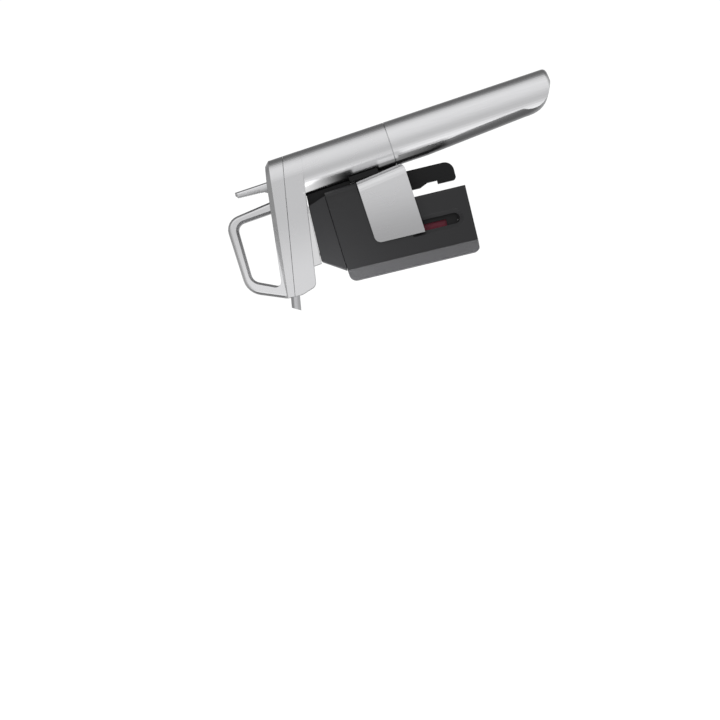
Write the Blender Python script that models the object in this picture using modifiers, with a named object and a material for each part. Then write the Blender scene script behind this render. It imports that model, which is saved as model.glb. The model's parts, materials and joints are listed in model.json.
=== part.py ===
"""A wine preservation dispenser, in metres.

+X runs along the bottle neck's axis, towards the bottle. +Z points to the handle and Y is the width.
The origin is the middle of the bottle's mouth. The head is drawn pushed right down, its needle through
the cork.
"""

import math

import bmesh
import bpy
from mathutils import Matrix, Vector

# Gaps and overruns that every piece shares
FIT_GAP = 0.0003
SLIDE_GAP = 0.00006
OVERRUN = 0.0060
ARC_STEPS = 6
MOST_CORNER_SHARE = 0.49

# The bottle neck, and what lines it
NECK_DIAMETER = 0.0286
PAD_THICKNESS = 0.0013
PAD_HALF_HEIGHT = 0.0080
PAD_START = 0.0080
PAD_END = 0.0606
JAW_WALL = 0.0017
JAW_HALF_HEIGHT = 0.0090
JAW_END = 0.0680
JAW_SWING_ROOM = 0.0024
JAW_PIN_X = 0.0068
JAW_PIN_RADIUS = 0.0012
JAW_EYE_RADIUS = 0.0028
JAW_EDGE_SHARE = 0.98
JAW_PIN_SEAT = 0.0012
JAW_SPRING_WIRE = 0.0005
JAW_SPRING_TURNS = 5

# The clamp housing, two shells that meet on the plane Y = 0
SHELL_END = 0.0774
SHELL_WALL = 0.0030
SHELL_ROOF = 0.0030
SHELL_FLOOR = 0.0039
CAVITY_HALF_HEIGHT = 0.0180
CAVITY_BEVEL = 0.0034
SHELL_FRONT_WALL = 0.0057
BEVEL_HEIGHT = 0.0071
SHELL_CORNER = 0.0050
SHELL_TOP_ROUND = 0.0015
SHELL_FRONT_LEAN = math.radians(3.6)
HUMP_TILT = math.radians(4.4)
HUMP_RISE = 0.0172
SADDLE_TILT = math.radians(9.5)
SADDLE_RISE = 0.0150
SADDLE_ROUND = 0.0110
SADDLE_END = 0.0431
SLOT_START = 0.0400
SLOT_END = 0.0694
SLOT_LOW = -0.0016
SLOT_HIGH = 0.0053
RECESS_MARGIN = 0.0022
RECESS_FLAT = 0.0004
RECESS_DEPTH = 0.0016
WINDOW_HIGH_SHARE = 0.62

# The metal bands over the saddle
BAND_THICKNESS = 0.0010
BAND_FRONT = 0.0133
BAND_END = 0.0455
BAND_LOW = -0.0023
BAND_CORNER = 0.0042
BAND_TOP_CORNER = 0.0040
BAND_LIP = 0.0101

# The rail and its channel
CHANNEL_RISE = 0.0052
RAIL_HEIGHT = 0.0125
RAIL_WEB = 0.0090
RAIL_FLANGE = 0.0120
RAIL_FLANGE_HEIGHT = 0.0030
RAIL_END = 0.0735
RAIL_ROUND = 0.0085
RAIL_HEEL = 0.0018
RAIL_WRAP = 0.0006
NOTCH_WALL = 0.0614
NOTCH_LENGTH = 0.0064
NOTCH_RAMP = 0.0053
NOTCH_DEPTH = 0.0023
RAIL_STEP_X = 0.0386
BASE_START = 0.0064
BASE_LENGTH = 0.0194
BASE_WIDTH = 0.0190
BASE_WRAP = 0.0024
BASE_UNDER = 0.0012
LATCH_X = 0.0120
LATCH_RADIUS = 0.0021
LATCH_HEIGHT = 0.0030
LATCH_POCKET = 0.0070
LATCH_SPRING_WIRE = 0.0004
LATCH_SPRING_TURNS = 4

# The black nose between the clamp and the head
SEAL_THICKNESS = 0.0030
SEAL_RADIUS = 0.0130
NOSE_LENGTH = 0.0232
NOSE_BACK_HALF_WIDTH = 0.0195
NOSE_FRONT_HALF_WIDTH = 0.0130
NOSE_FRONT_HEIGHT = 0.0312
NOSE_BACK_HEIGHT = 0.0352
NOSE_DROP = 0.0048
NOSE_CORNER = 0.0016
NOSE_BACK_DROP = 0.0141
NOSE_SPIGOT_RADIUS = 0.0087
NOSE_PLUG_MARGIN = 0.0015
NOSE_PLUG_DEPTH = 0.0010
GUIDE_RADIUS = 0.0040
GUIDE_WALL = 0.0030

# The needle and its hub
NEEDLE_RADIUS = 0.0008
NEEDLE_TIP_X = 0.0450
NEEDLE_POINT = 0.0030
HUB_RADIUS = 0.0040
HUB_LENGTH = 0.0130
HUB_FLANGE = 0.0020
HUB_RING_WIRE = 0.0006

# The gas capsule, which sets the size of the handle round it
CAPSULE_RADIUS = 0.0110
CAPSULE_LENGTH = 0.0880
CAPSULE_WALL = 0.0015
CAPSULE_NECK_RADIUS = 0.0042
CAPSULE_NECK_LENGTH = 0.0065
CAPSULE_SHOULDER = 0.0110
CAPSULE_MOUTH_RADIUS = 0.0014
CAPSULE_IN_TUBE = 0.0360
CAPSULE_ROOM = 0.0004
SLEEVE_WALL = 0.0015
SLEEVE_IN_TUBE = 0.0120
SLEEVE_IN_CUP = 0.0100
LIP_WALL = 0.0014
PAD_LENGTH = 0.0022
RING_WIRE = 0.0006

# The handle: its axis rises towards the bottle
HANDLE_TILT = math.radians(5.05)
HANDLE_GAP = 0.0023
JOINT_X = 0.0372
CUP_LENGTH = 0.1103
CUP_END_ROUND = 0.0028
CUP_HOLLOW_WALL = 0.0060
CUP_HOLLOW_END = 0.0950
SCOOP_START = 0.0200
SCOOP_SLOPE = math.radians(2.88)
SCOOP_ROUND = 0.0152
SCOOP_FLARE = 0.075
SCOOP_STATIONS = 12
SCOOP_MARGIN = 0.0003
CHIN_START = 0.0223
CHIN_HANDLES = ((0.0078, 0.0004), (0.0043, 0.0052))
CHIN_RISE = 0.0172

# The head column, in side view
FRONT_LEAN = math.radians(4.97)
SEAM_LEAN = math.radians(8.18)
BACK_LEAN = math.radians(6.97)
PLATE_DEPTH = 0.0044
COLUMN_DEPTH = 0.0226
FRONT_PART_DEPTH = 0.0088
COLUMN_DROP = 0.0227
COLUMN_FOOT_HALF_WIDTH = 0.0112
FOOT_START = 0.0020
FOOT_FLAT = 0.0100
FOOT_RISE = 0.0034
FOOT_ROUND = 0.0080
FOOT_BACK_ROUND = 0.0045
FRONT_CHAMFER = 0.0030
SEAM_GAP = 0.0002
PLATE_DROP = 0.0060
PLATE_LIP_DROP = 0.0066
PLATE_HALF_WIDTH = 0.0100
PLATE_LEAST = 0.0004
CAST_STEP = 0.00005

# The grip loop, a closed bar in front of the head
LOOP_TOP = 0.0400
LOOP_TOP_SLOPE = math.radians(9.7)
LOOP_REACH = 0.0309
LOOP_SIDE_LEAN = math.radians(4.1)
LOOP_DROP = 0.0134
LOOP_ROUND = 0.0094
LOOP_FOOT_ROUND = 0.0130
LOOP_TOP_BAR = 0.0071
LOOP_INNER_SLOPE = math.radians(5.7)
LOOP_SIDE_BAR = 0.0071
LOOP_INNER_LEAN = math.radians(2.4)
LOOP_INNER_DROP = 0.0069
LOOP_HOLE_DROP = 0.0146
LOOP_INNER_ROUND = 0.0052
LOOP_INNER_FOOT_ROUND = 0.0070
LOOP_HOLE_ROUND = 0.0021
LOOP_HALF_WIDTH_LOW = 0.0112
LOOP_HALF_WIDTH_HIGH = 0.0095
LOOP_CHAMFER = 0.0016
LOOP_CHAMFER_DEPTH = 0.0026
LOOP_EDGE_ROUND = 0.0022
LOOP_EDGE_DEPTH = 0.0046
EDGE_STEPS = 4

# The trigger and the valve that it presses
TRIGGER_PIVOT_INSET = 0.0014
TRIGGER_PIVOT_DROP = 0.0021
TRIGGER_PIN_RADIUS = 0.0012
TRIGGER_EYE = 0.0030
TRIGGER_REACH = 0.0213
TRIGGER_HALF_WIDTH = 0.0088
TRIGGER_TIP = 0.0034
TRIGGER_TIP_BEVEL = 0.0014
TRIGGER_EDGE_ROUND = 0.0016
TRIGGER_EDGE_DEPTH = 0.0036
TRIGGER_ROOT = 0.0053
TRIGGER_RISE = 0.0009
TRIGGER_SLOPE = math.radians(5.1)
TRIGGER_FLARE = 0.0014
TRIGGER_RIBS = 14
TRIGGER_RIB_DEPTH = 0.0003
TRIGGER_RIB_HEIGHT = 0.0017
TRIGGER_SIDE_ROOM = 0.0005
TRIGGER_TOE_SHARE = 1.4
TRIGGER_RIB_REACH = 0.0150
TRIGGER_RIB_START = 0.0019
TRIGGER_SWING_ROOM = 0.0036
PIN_HALF_LENGTH = 0.0118
VALVE_ARM = 0.0046
VALVE_RADIUS = 0.0036
VALVE_BORE = 0.0024
VALVE_FLOOR = 0.0036
VALVE_LENGTH = 0.0180
STEM_RADIUS = 0.0011
STEM_COLLAR_RADIUS = 0.0021
STEM_COLLAR = 0.0015
STEM_PROUD = 0.0032
VALVE_SPRING_WIRE = 0.0005
VALVE_SPRING_TURNS = 5

# The regulator at the end of the capsule
REGULATOR_LENGTH = 0.0220
REGULATOR_SEAT = 0.0050
REGULATOR_CHAMBER_RADIUS = 0.0080
REGULATOR_CHAMBER = 0.0135
PISTON_HEAD = 0.0030
PISTON_STEM_RADIUS = 0.0018
PISTON_STEM = 0.0024
REGULATOR_CAP = 0.0018
REGULATOR_SPRING_WIRE = 0.0009
REGULATOR_SPRING_RADIUS = 0.0055
REGULATOR_SPRING_TURNS = 4
PIN_RADIUS = 0.0008
PIN_LENGTH = 0.0070
PIN_FLANGE_RADIUS = 0.0025
PIN_FLANGE = 0.0012
CAPSULE_SEAL = 0.0014

# The spout
SPOUT_RADIUS = 0.0030
SPOUT_BORE = 0.0019
SPOUT_TOP = -0.0125
SPOUT_TIP = -0.0308
SPOUT_CUT = math.radians(29)
WINE_BORE = 0.0011

# Screws
SCREW_RADIUS = 0.0013
SCREW_HEAD_RADIUS = 0.0023
SCREW_HEAD = 0.0015
SCREW_SOCKET_SHARE = 0.8
SHELL_SCREW_XS = (0.0215, 0.0355)
HEAD_SCREW_ZS = (0.0100, 0.0205)
HEAD_SCREW_DEPTH = 0.0040
RAIL_SCREW_SHARES = (0.24, 0.76)
RAIL_SCREW_BITE = 0.0018

# What follows from the sizes above: the clamp, outwards from the neck
pad_radius = NECK_DIAMETER / 2
jaw_bore = pad_radius + PAD_THICKNESS + FIT_GAP
jaw_side = jaw_bore + JAW_WALL
cavity_side = jaw_side + JAW_SWING_ROOM
shell_side = cavity_side + SHELL_WALL
shell_top = CAVITY_HALF_HEIGHT + SHELL_ROOF
shell_bottom = -CAVITY_HALF_HEIGHT - SHELL_FLOOR
channel_floor = shell_top + CHANNEL_RISE
rail_bottom = channel_floor + FIT_GAP
rail_top = rail_bottom + RAIL_HEIGHT
flange_top = rail_bottom + RAIL_FLANGE_HEIGHT
shell_front = -SEAL_THICKNESS - FIT_GAP - SHELL_FRONT_WALL

# The head, towards the front from the nose
nose_front = -NOSE_LENGTH
plate_face = nose_front - FIT_GAP
back_x = plate_face - PLATE_DEPTH
front_x = back_x - COLUMN_DEPTH
seam_x = front_x + FRONT_PART_DEPTH
trigger_pivot_x = back_x + TRIGGER_PIVOT_INSET

# The handle, outwards from the capsule
capsule_bore = CAPSULE_RADIUS + CAPSULE_ROOM
sleeve_radius = capsule_bore + SLEEVE_WALL
lip_bore = sleeve_radius + FIT_GAP
handle_radius = lip_bore + LIP_WALL
tube_bore = capsule_bore + SLEEVE_WALL / 2
axis_at_base = rail_top + HANDLE_GAP + handle_radius / math.cos(HANDLE_TILT)
joint_z = axis_at_base + (JOINT_X - BASE_START) * math.tan(HANDLE_TILT)
capsule_front = -CAPSULE_IN_TUBE
capsule_end = capsule_front + CAPSULE_LENGTH

LIGHT_METAL = ((0.66, 0.66, 0.67), 0.30, 1.0)
STEEL = ((0.60, 0.61, 0.62), 0.22, 1.0)
BRASS = ((0.72, 0.55, 0.25), 0.30, 1.0)
BLACK_PLASTIC = ((0.030, 0.031, 0.033), 0.45, 0.0)
GREY_PLASTIC = ((0.045, 0.046, 0.048), 0.50, 0.0)
RUBBER = ((0.02, 0.02, 0.02), 0.80, 0.0)
BURGUNDY_RUBBER = ((0.12, 0.01, 0.03), 0.55, 0.0)


def clear_scene():
    """Empties the scene and gives it a collection for the parts and one for the cutters."""
    for old in list(bpy.data.objects):
        bpy.data.objects.remove(old, do_unlink=True)
    made = []
    for name in ("wine_preservation_dispenser", "cutters"):
        collection = bpy.data.collections.new(name)
        bpy.context.scene.collection.children.link(collection)
        made.append(collection)
    return made


PARTS, CUTTERS = clear_scene()


def stand(name, location, tilt=0.0):
    """An empty that pieces are placed on, its X axis raised by the tilt."""
    empty = bpy.data.objects.new(name, None)
    empty.location = location
    empty.rotation_euler = (0, -tilt, 0)
    PARTS.objects.link(empty)
    return empty


HANDLE = stand("handle_axis", (JOINT_X, 0, joint_z), HANDLE_TILT)
HUMP = stand("hump_line", (0, 0, shell_top + HUMP_RISE), HUMP_TILT)
SADDLE = stand("saddle_line", (0, 0, shell_top + SADDLE_RISE), SADDLE_TILT)


def add_part(name, data, look, parent=None, location=(0, 0, 0)):
    """Adds one real piece, with a material of its own."""
    part = bpy.data.objects.new(name, data)
    part.parent = parent
    part.location = location
    PARTS.objects.link(part)
    color, roughness, metallic = look
    material = bpy.data.materials.new(name)
    material.use_nodes = True
    shader = material.node_tree.nodes["Principled BSDF"]
    shader.inputs["Base Color"].default_value = (*color, 1)
    shader.inputs["Roughness"].default_value = roughness
    shader.inputs["Metallic"].default_value = metallic
    data.materials.append(material)
    return part


def add_cutter(name, data, parent=None):
    """Adds a helper that is cut away, kept or joined, and never a piece itself."""
    cutter = bpy.data.objects.new(name, data)
    cutter.parent = parent
    cutter.hide_render = True
    cutter.display_type = "WIRE"
    CUTTERS.objects.link(cutter)
    return cutter


def combine(part, operation, other):
    boolean = part.modifiers.new(other.name, "BOOLEAN")
    boolean.operation = operation
    boolean.object = other
    boolean.solver = "EXACT"
    return part


def cut(part, name, data, parent=None):
    return combine(part, "DIFFERENCE", add_cutter(f"{part.name}_{name}", data, parent))


def keep(part, name, data, parent=None):
    return combine(part, "INTERSECT", add_cutter(f"{part.name}_{name}", data, parent))


def join(part, name, data, parent=None):
    return combine(part, "UNION", add_cutter(f"{part.name}_{name}", data, parent))


def finished(name, shape):
    mesh = bpy.data.meshes.new(name)
    shape.to_mesh(mesh)
    shape.free()
    mesh.shade_smooth()
    mesh.set_sharp_from_angle(angle=math.radians(30))
    return mesh


def box(low, high):
    """A box between two corners."""
    low, high = Vector(low), Vector(high)
    shape = bmesh.new()
    bmesh.ops.create_cube(shape, size=1)
    sizes = Matrix.Diagonal((*(high - low), 1))
    bmesh.ops.transform(shape, matrix=Matrix.Translation((low + high) / 2) @ sizes, verts=shape.verts)
    return finished("box", shape)


def rod(radius, start, end, sides=24, end_radius=None):
    """A round bar from start to end, or a cone where its end has another radius."""
    start, end = Vector(start), Vector(end)
    along = end - start
    shape = bmesh.new()
    bmesh.ops.create_cone(
        shape,
        cap_ends=True,
        segments=sides,
        radius1=radius,
        radius2=radius if end_radius is None else end_radius,
        depth=along.length,
    )
    turn = Vector((0, 0, 1)).rotation_difference(along).to_matrix().to_4x4()
    bmesh.ops.transform(shape, matrix=Matrix.Translation((start + end) / 2) @ turn, verts=shape.verts)
    return finished("rod", shape)


def rounded(corners, steps=ARC_STEPS):
    """Outline points from (x, y, radius) corners, each corner with a radius an arc."""
    points = []
    for index, (x, y, radius) in enumerate(corners):
        here = Vector((x, y))
        if not radius:
            points.append((x, y))
            continue
        before = Vector(corners[index - 1][:2]) - here
        after = Vector(corners[(index + 1) % len(corners)][:2]) - here
        half = before.angle(after) / 2
        room = min(before.length, after.length) * MOST_CORNER_SHARE
        reach = min(radius / math.tan(half), room)
        to_centre = reach / math.cos(half)
        centre = here + (before.normalized() + after.normalized()).normalized() * to_centre
        first = here + before.normalized() * reach - centre
        last = here + after.normalized() * reach - centre
        turn = math.atan2(first.x * last.y - first.y * last.x, first.dot(last))
        for step in range(steps + 1):
            angle = turn * step / steps
            points.append(
                (
                    centre.x + first.x * math.cos(angle) - first.y * math.sin(angle),
                    centre.y + first.x * math.sin(angle) + first.y * math.cos(angle),
                )
            )
    return points


def filled(outlines, low, high):
    """Flat outlines in local X and Y, filled and raised from low to high; an inner outline is a hole."""
    curve = bpy.data.curves.new("outline", "CURVE")
    curve.dimensions = "2D"
    curve.fill_mode = "BOTH"
    curve.extrude = (high - low) / 2
    for points in outlines:
        spline = curve.splines.new("POLY")
        spline.points.add(len(points) - 1)
        for point, (x, y) in zip(spline.points, points):
            point.co = (x, y, 0, 1)
        spline.use_cyclic_u = True
    holder = bpy.data.objects.new("outline", curve)
    CUTTERS.objects.link(holder)
    bpy.context.view_layer.update()
    ready = holder.evaluated_get(bpy.context.evaluated_depsgraph_get())
    mesh = bpy.data.meshes.new_from_object(ready)
    shape = bmesh.new()
    shape.from_mesh(mesh)
    bpy.data.objects.remove(holder, do_unlink=True)
    bmesh.ops.remove_doubles(shape, verts=shape.verts, dist=FIT_GAP / 100)
    bmesh.ops.translate(shape, vec=(0, 0, (low + high) / 2), verts=shape.verts)
    bmesh.ops.recalc_face_normals(shape, faces=shape.faces)
    return shape


def loft(rings):
    """A closed skin over rings of points, each ring as long as the next."""
    shape = bmesh.new()
    skin = [[shape.verts.new(point) for point in ring] for ring in rings]
    for first, second in zip(skin, skin[1:]):
        for index, corner in enumerate(first):
            after = (index + 1) % len(first)
            shape.faces.new((corner, first[after], second[after], second[index]))
    shape.faces.new(skin[0])
    shape.faces.new(skin[-1])
    bmesh.ops.recalc_face_normals(shape, faces=shape.faces)
    return finished("loft", shape)


# Local X, Y, Z of a filled outline become X, Z, -Y of a side view and Y, Z, X of a cross-section
SIDE_VIEW = Matrix.Rotation(math.radians(90), 4, "X")
CROSS_SECTION = Matrix(((0, 0, 1, 0), (1, 0, 0, 0), (0, 1, 0, 0), (0, 0, 0, 1)))


def side_shape(corners, half_width, holes=()):
    """A side outline in X and Z, as wide as two half widths."""
    outlines = [rounded(corners)] + [rounded(hole) for hole in holes]
    shape = filled(outlines, -half_width, half_width)
    bmesh.ops.transform(shape, matrix=SIDE_VIEW, verts=shape.verts)
    return shape


def side_plate(corners, half_width, holes=()):
    return finished("side_plate", side_shape(corners, half_width, holes))


def round_rim(shape, line, width, depth, steps):
    """Rounds the edges of both sides along a line of the side outline, deeper in Y than wide."""
    points = {(round(x, 6), round(z, 6)) for x, z in line}
    rim = [
        edge
        for edge in shape.edges
        if abs(edge.verts[0].co.y - edge.verts[1].co.y) < FIT_GAP
        and all((round(v.co.x, 6), round(v.co.z, 6)) in points for v in edge.verts)
        and any(abs(face.normal.y) < 0.5 for face in edge.link_faces)
    ]
    for vert in shape.verts:
        vert.co.y *= width / depth
    bmesh.ops.bevel(shape, geom=rim, offset=width, segments=steps, profile=0.5, affect="EDGES")
    for vert in shape.verts:
        vert.co.y *= depth / width
    bmesh.ops.recalc_face_normals(shape, faces=shape.faces)


def section_shape(corners, start, end, steps=ARC_STEPS):
    """A cross-section outline in Y and Z, drawn out along X."""
    shape = filled([rounded(corners, steps)], start, end)
    bmesh.ops.transform(shape, matrix=CROSS_SECTION, verts=shape.verts)
    return shape


def section_bar(corners, start, end, steps=ARC_STEPS):
    return finished("section_bar", section_shape(corners, start, end, steps))


def turned(name, profile, look, parent=None, start=(0, 0, 0), along="X", sides=32, ring=False):
    """A turned piece: profile is (radius, distance along) from its far end down its outside."""
    mesh = bpy.data.meshes.new(name)
    edges = [(index, index + 1) for index in range(len(profile) - 1)]
    if ring:
        edges.append((len(profile) - 1, 0))
    mesh.from_pydata([(radius, 0, height) for radius, height in profile], edges, [])
    part = add_part(name, mesh, look, parent, start)
    if along == "X":
        part.rotation_euler = (0, math.radians(90), 0)
    screw = part.modifiers.new("turning", "SCREW")
    screw.steps = sides
    screw.render_steps = sides
    screw.use_merge_vertices = True
    screw.merge_threshold = FIT_GAP / 100
    screw.use_smooth_shade = True
    return part


def pipe(inner, outer, start, end):
    """The closed profile of a plain pipe."""
    return [(outer, end), (outer, start), (inner, start), (inner, end)]


def ring_profile(radius, wire, height, sides=10):
    """The closed profile of a round ring, going down its outside first."""
    steps = [-math.tau * step / sides for step in range(sides)]
    return [(radius + wire * math.cos(step), height + wire * math.sin(step)) for step in steps]


def coil(name, radius, wire, turns, start, end, look, parent=None, along="Z", leg=None):
    """A spring of round wire wound from start to end along an axis, its ends straight."""
    per_turn = 9
    count = round(turns * per_turn)
    leg = 2 * wire if leg is None else leg
    points = []
    for step in range(count + 1):
        angle = math.tau * step / per_turn
        height = start + (end - start) * step / count
        points.append(Vector((radius * math.cos(angle), radius * math.sin(angle), height)))
    first = (points[0] - points[1]).normalized() * leg
    last = (points[-1] - points[-2]).normalized() * leg
    first.z = last.z = 0
    points = [points[0] + first, *points, points[-1] + last]
    curve = bpy.data.curves.new(name, "CURVE")
    curve.dimensions = "3D"
    curve.bevel_depth = wire / 2
    curve.bevel_resolution = 1
    curve.use_fill_caps = True
    spline = curve.splines.new("POLY")
    spline.points.add(len(points) - 1)
    for point, place in zip(spline.points, points):
        point.co = (*(CROSS_SECTION @ place if along == "X" else place), 1)
    return add_part(name, curve, look, parent)


def lean(x_at_axis, angle, z, way=1):
    """Where a leaning line lies at the height z: it passes x_at_axis at the neck's axis."""
    return x_at_axis + way * z * math.tan(angle)


def clamp_face(x_at_axis, z):
    """The bands stand square to the handle, so their ends lean to the front as they rise."""
    return lean(x_at_axis, HANDLE_TILT, z, -1)


def shell_face(x_at_axis, z):
    return lean(x_at_axis, SHELL_FRONT_LEAN, z, -1)


def nose_plug(room, reach):
    """The shallow plug behind the nose, or with some room round it the shells' pocket for it."""
    low = -NOSE_BACK_DROP + NOSE_PLUG_MARGIN - room
    high = NOSE_BACK_HEIGHT - NOSE_PLUG_MARGIN + room
    end = shell_front + NOSE_PLUG_DEPTH + room
    outline = [
        (shell_face(shell_front - reach, low), low, 0),
        (shell_face(end, low), low, 0),
        (shell_face(end, high), high, 0),
        (shell_face(shell_front - reach, high), high, 0),
    ]
    return side_plate(outline, NOSE_BACK_HALF_WIDTH - NOSE_PLUG_MARGIN + room)


def saddle_top(x):
    return shell_top + SADDLE_RISE + x * math.tan(SADDLE_TILT)


def mirrored(corners):
    """A symmetric outline in Y and Z from its +Y half, listed from the bottom up."""
    return corners + [(-y, z, radius) for y, z, radius in reversed(corners)]


def join_saddle(shell, name, line, rise, back, start, end):
    """Joins a round-shouldered block onto the shell, its top on a sloping line."""
    section = mirrored([(shell_side, -2 * rise, 0), (shell_side, 0, SADDLE_ROUND)])
    reach = SHELL_FRONT_WALL + OVERRUN
    bar = section_bar(section, start - reach, end + reach)
    block = add_cutter(f"{shell.name}_{name}", bar, line)
    low = shell_top - SHELL_ROOF / 2
    high = shell_top + 3 * rise
    if back:
        first = [(start + back, high, 0), (start + back, low, 0)]
    else:
        first = [(shell_face(start, high), high, 0), (shell_face(start, low), low, 0)]
    side = first + [(clamp_face(end, low), low, 0), (clamp_face(end, high), high, 0)]
    keep(block, "side_outline", side_plate(side, shell_side + OVERRUN))
    combine(shell, "UNION", block)


# The clamp housing: two moulded shells, joined on the plane Y = 0
def clamp_shell(name, side):
    bevel_side = shell_side - BEVEL_HEIGHT
    lower = mirrored(
        [
            (bevel_side, shell_bottom, 0),
            (shell_side, shell_bottom + BEVEL_HEIGHT, 0),
            (shell_side, shell_top, SHELL_TOP_ROUND),
        ]
    )
    shell = add_part(name, section_bar(lower, shell_front - OVERRUN, SHELL_END), GREY_PLASTIC)
    lower_top = shell_top + OVERRUN
    lower_side = [
        (shell_face(shell_front, lower_top), lower_top, 0),
        (shell_face(shell_front, shell_bottom), shell_bottom, SHELL_CORNER),
        (SHELL_END, shell_bottom, SHELL_CORNER / 2),
        (SHELL_END, lower_top, 0),
    ]
    keep(shell, "side_outline", side_plate(lower_side, shell_side + OVERRUN))
    hump_end = BAND_FRONT - FIT_GAP
    join_saddle(shell, "hump", HUMP, HUMP_RISE, 0, shell_face(shell_front, 0), hump_end)
    join_saddle(shell, "saddle", SADDLE, SADDLE_RISE, SADDLE_ROUND / 2, 0, SADDLE_END)
    half = FIT_GAP / 2
    far = shell_side + OVERRUN
    low, high = (half, far) if side > 0 else (-far, -half)
    reach = SHELL_END + OVERRUN
    keep(shell, "half", box((-reach, low, -reach), (reach, high, reach)))
    cavity = [
        (CAVITY_BEVEL - cavity_side, -CAVITY_HALF_HEIGHT, 0),
        (cavity_side - CAVITY_BEVEL, -CAVITY_HALF_HEIGHT, 0),
        (cavity_side, CAVITY_BEVEL - CAVITY_HALF_HEIGHT, 0),
        (cavity_side, CAVITY_HALF_HEIGHT, 0),
        (-cavity_side, CAVITY_HALF_HEIGHT, 0),
        (-cavity_side, CAVITY_BEVEL - CAVITY_HALF_HEIGHT, 0),
    ]
    cavity_start = -SEAL_THICKNESS - FIT_GAP
    cut(shell, "cavity", section_bar(cavity, cavity_start, reach))
    cut(shell, "plug_pocket", nose_plug(FIT_GAP, OVERRUN))
    spigot_hole = NOSE_SPIGOT_RADIUS + FIT_GAP
    cut(shell, "spigot_hole", rod(spigot_hole, (-NOSE_LENGTH, 0, 0), (0, 0, 0), 32))
    web = RAIL_WEB / 2 + FIT_GAP
    flange = RAIL_FLANGE / 2 + FIT_GAP
    cut(shell, "web_channel", box((-reach, -web, channel_floor), (reach, web, reach)))
    flange_roof = flange_top + FIT_GAP
    cut(shell, "flange_channel", box((-reach, -flange, channel_floor), (reach, flange, flange_roof)))
    latch_bore = LATCH_RADIUS + SLIDE_GAP
    cut(shell, "latch_pocket", rod(latch_bore, (LATCH_X, 0, latch_floor), (LATCH_X, 0, rail_top)))
    pin_y = side * jaw_pin_y
    pin_half = CAVITY_HALF_HEIGHT + JAW_PIN_SEAT
    pin_hole = JAW_PIN_RADIUS + SLIDE_GAP
    cut(shell, "pin_hole", rod(pin_hole, (JAW_PIN_X, pin_y, -pin_half), (JAW_PIN_X, pin_y, pin_half), 16))
    slot_height = SLOT_HIGH - SLOT_LOW
    slot = [
        (SLOT_START, SLOT_LOW, 0),
        (SLOT_END, SLOT_LOW, slot_height / 2),
        (SLOT_END, SLOT_HIGH, slot_height / 2),
        (SLOT_START, SLOT_HIGH, 0),
    ]
    cut(shell, "slot", side_plate(slot, far))
    rims = []
    for depth in (RECESS_DEPTH, -RECESS_DEPTH / 2):
        margin = RECESS_FLAT + RECESS_MARGIN * (1 - depth / RECESS_DEPTH)
        rim = [
            (SLOT_START - margin, SLOT_LOW - margin, 0),
            (SLOT_END + margin, SLOT_LOW - margin, slot_height / 2 + margin),
            (SLOT_END + margin, SLOT_HIGH + margin, slot_height / 2 + margin),
            (SLOT_START - margin, SLOT_HIGH + margin, 0),
        ]
        rims.append([(x, side * (shell_side - depth), z) for x, z in rounded(rim)])
    cut(shell, "recess", loft(rims))
    screw_z = (shell_top + channel_floor) / 2
    hole = SCREW_RADIUS + SLIDE_GAP
    head_hole = SCREW_HEAD_RADIUS + SLIDE_GAP
    for index, x in enumerate(SHELL_SCREW_XS):
        end = -cavity_side - FIT_GAP
        cut(shell, f"screw_hole_{index}", rod(hole, (x, far, screw_z), (x, end, screw_z), 16))
        seat = shell_side - SCREW_HEAD - FIT_GAP
        cut(shell, f"screw_seat_{index}", rod(head_hole, (x, far, screw_z), (x, seat, screw_z), 20))
    return shell


jaw_pin_y = jaw_side - JAW_EYE_RADIUS + JAW_WALL
latch_floor = channel_floor - LATCH_POCKET
clamp_shell("clamp_shell_left", 1)
clamp_shell("clamp_shell_right", -1)


# Screws that pull the two shells together, hidden by the left band
def screw(name, under_head, point, look=STEEL, parent=None, drive=True):
    """A screw whose head seats at under_head and whose shank ends at point."""
    under_head, point = Vector(under_head), Vector(point)
    away = (under_head - point).normalized()
    part = add_part(name, rod(SCREW_RADIUS, point, under_head + away * SCREW_HEAD / 2, 12), look, parent)
    top = under_head + away * SCREW_HEAD
    join(part, "head", rod(SCREW_HEAD_RADIUS, under_head, top, 16), parent)
    if drive:
        socket = SCREW_RADIUS * SCREW_SOCKET_SHARE
        cut(part, "drive", rod(socket, top - away * SCREW_HEAD / 2, top + away * SCREW_HEAD, 6), parent)
    return part


for index, x in enumerate(SHELL_SCREW_XS):
    screw_z = (shell_top + channel_floor) / 2
    screw(
        f"shell_screw_{index + 1}",
        (x, shell_side - SCREW_HEAD, screw_z),
        (x, -cavity_side, screw_z),
    )


band_height = shell_top + SADDLE_RISE + BAND_THICKNESS


def band_top(x):
    """A line just above the bands, which trims their ends and nothing else."""
    return saddle_top(x) + BAND_THICKNESS + 2 * FIT_GAP


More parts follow.
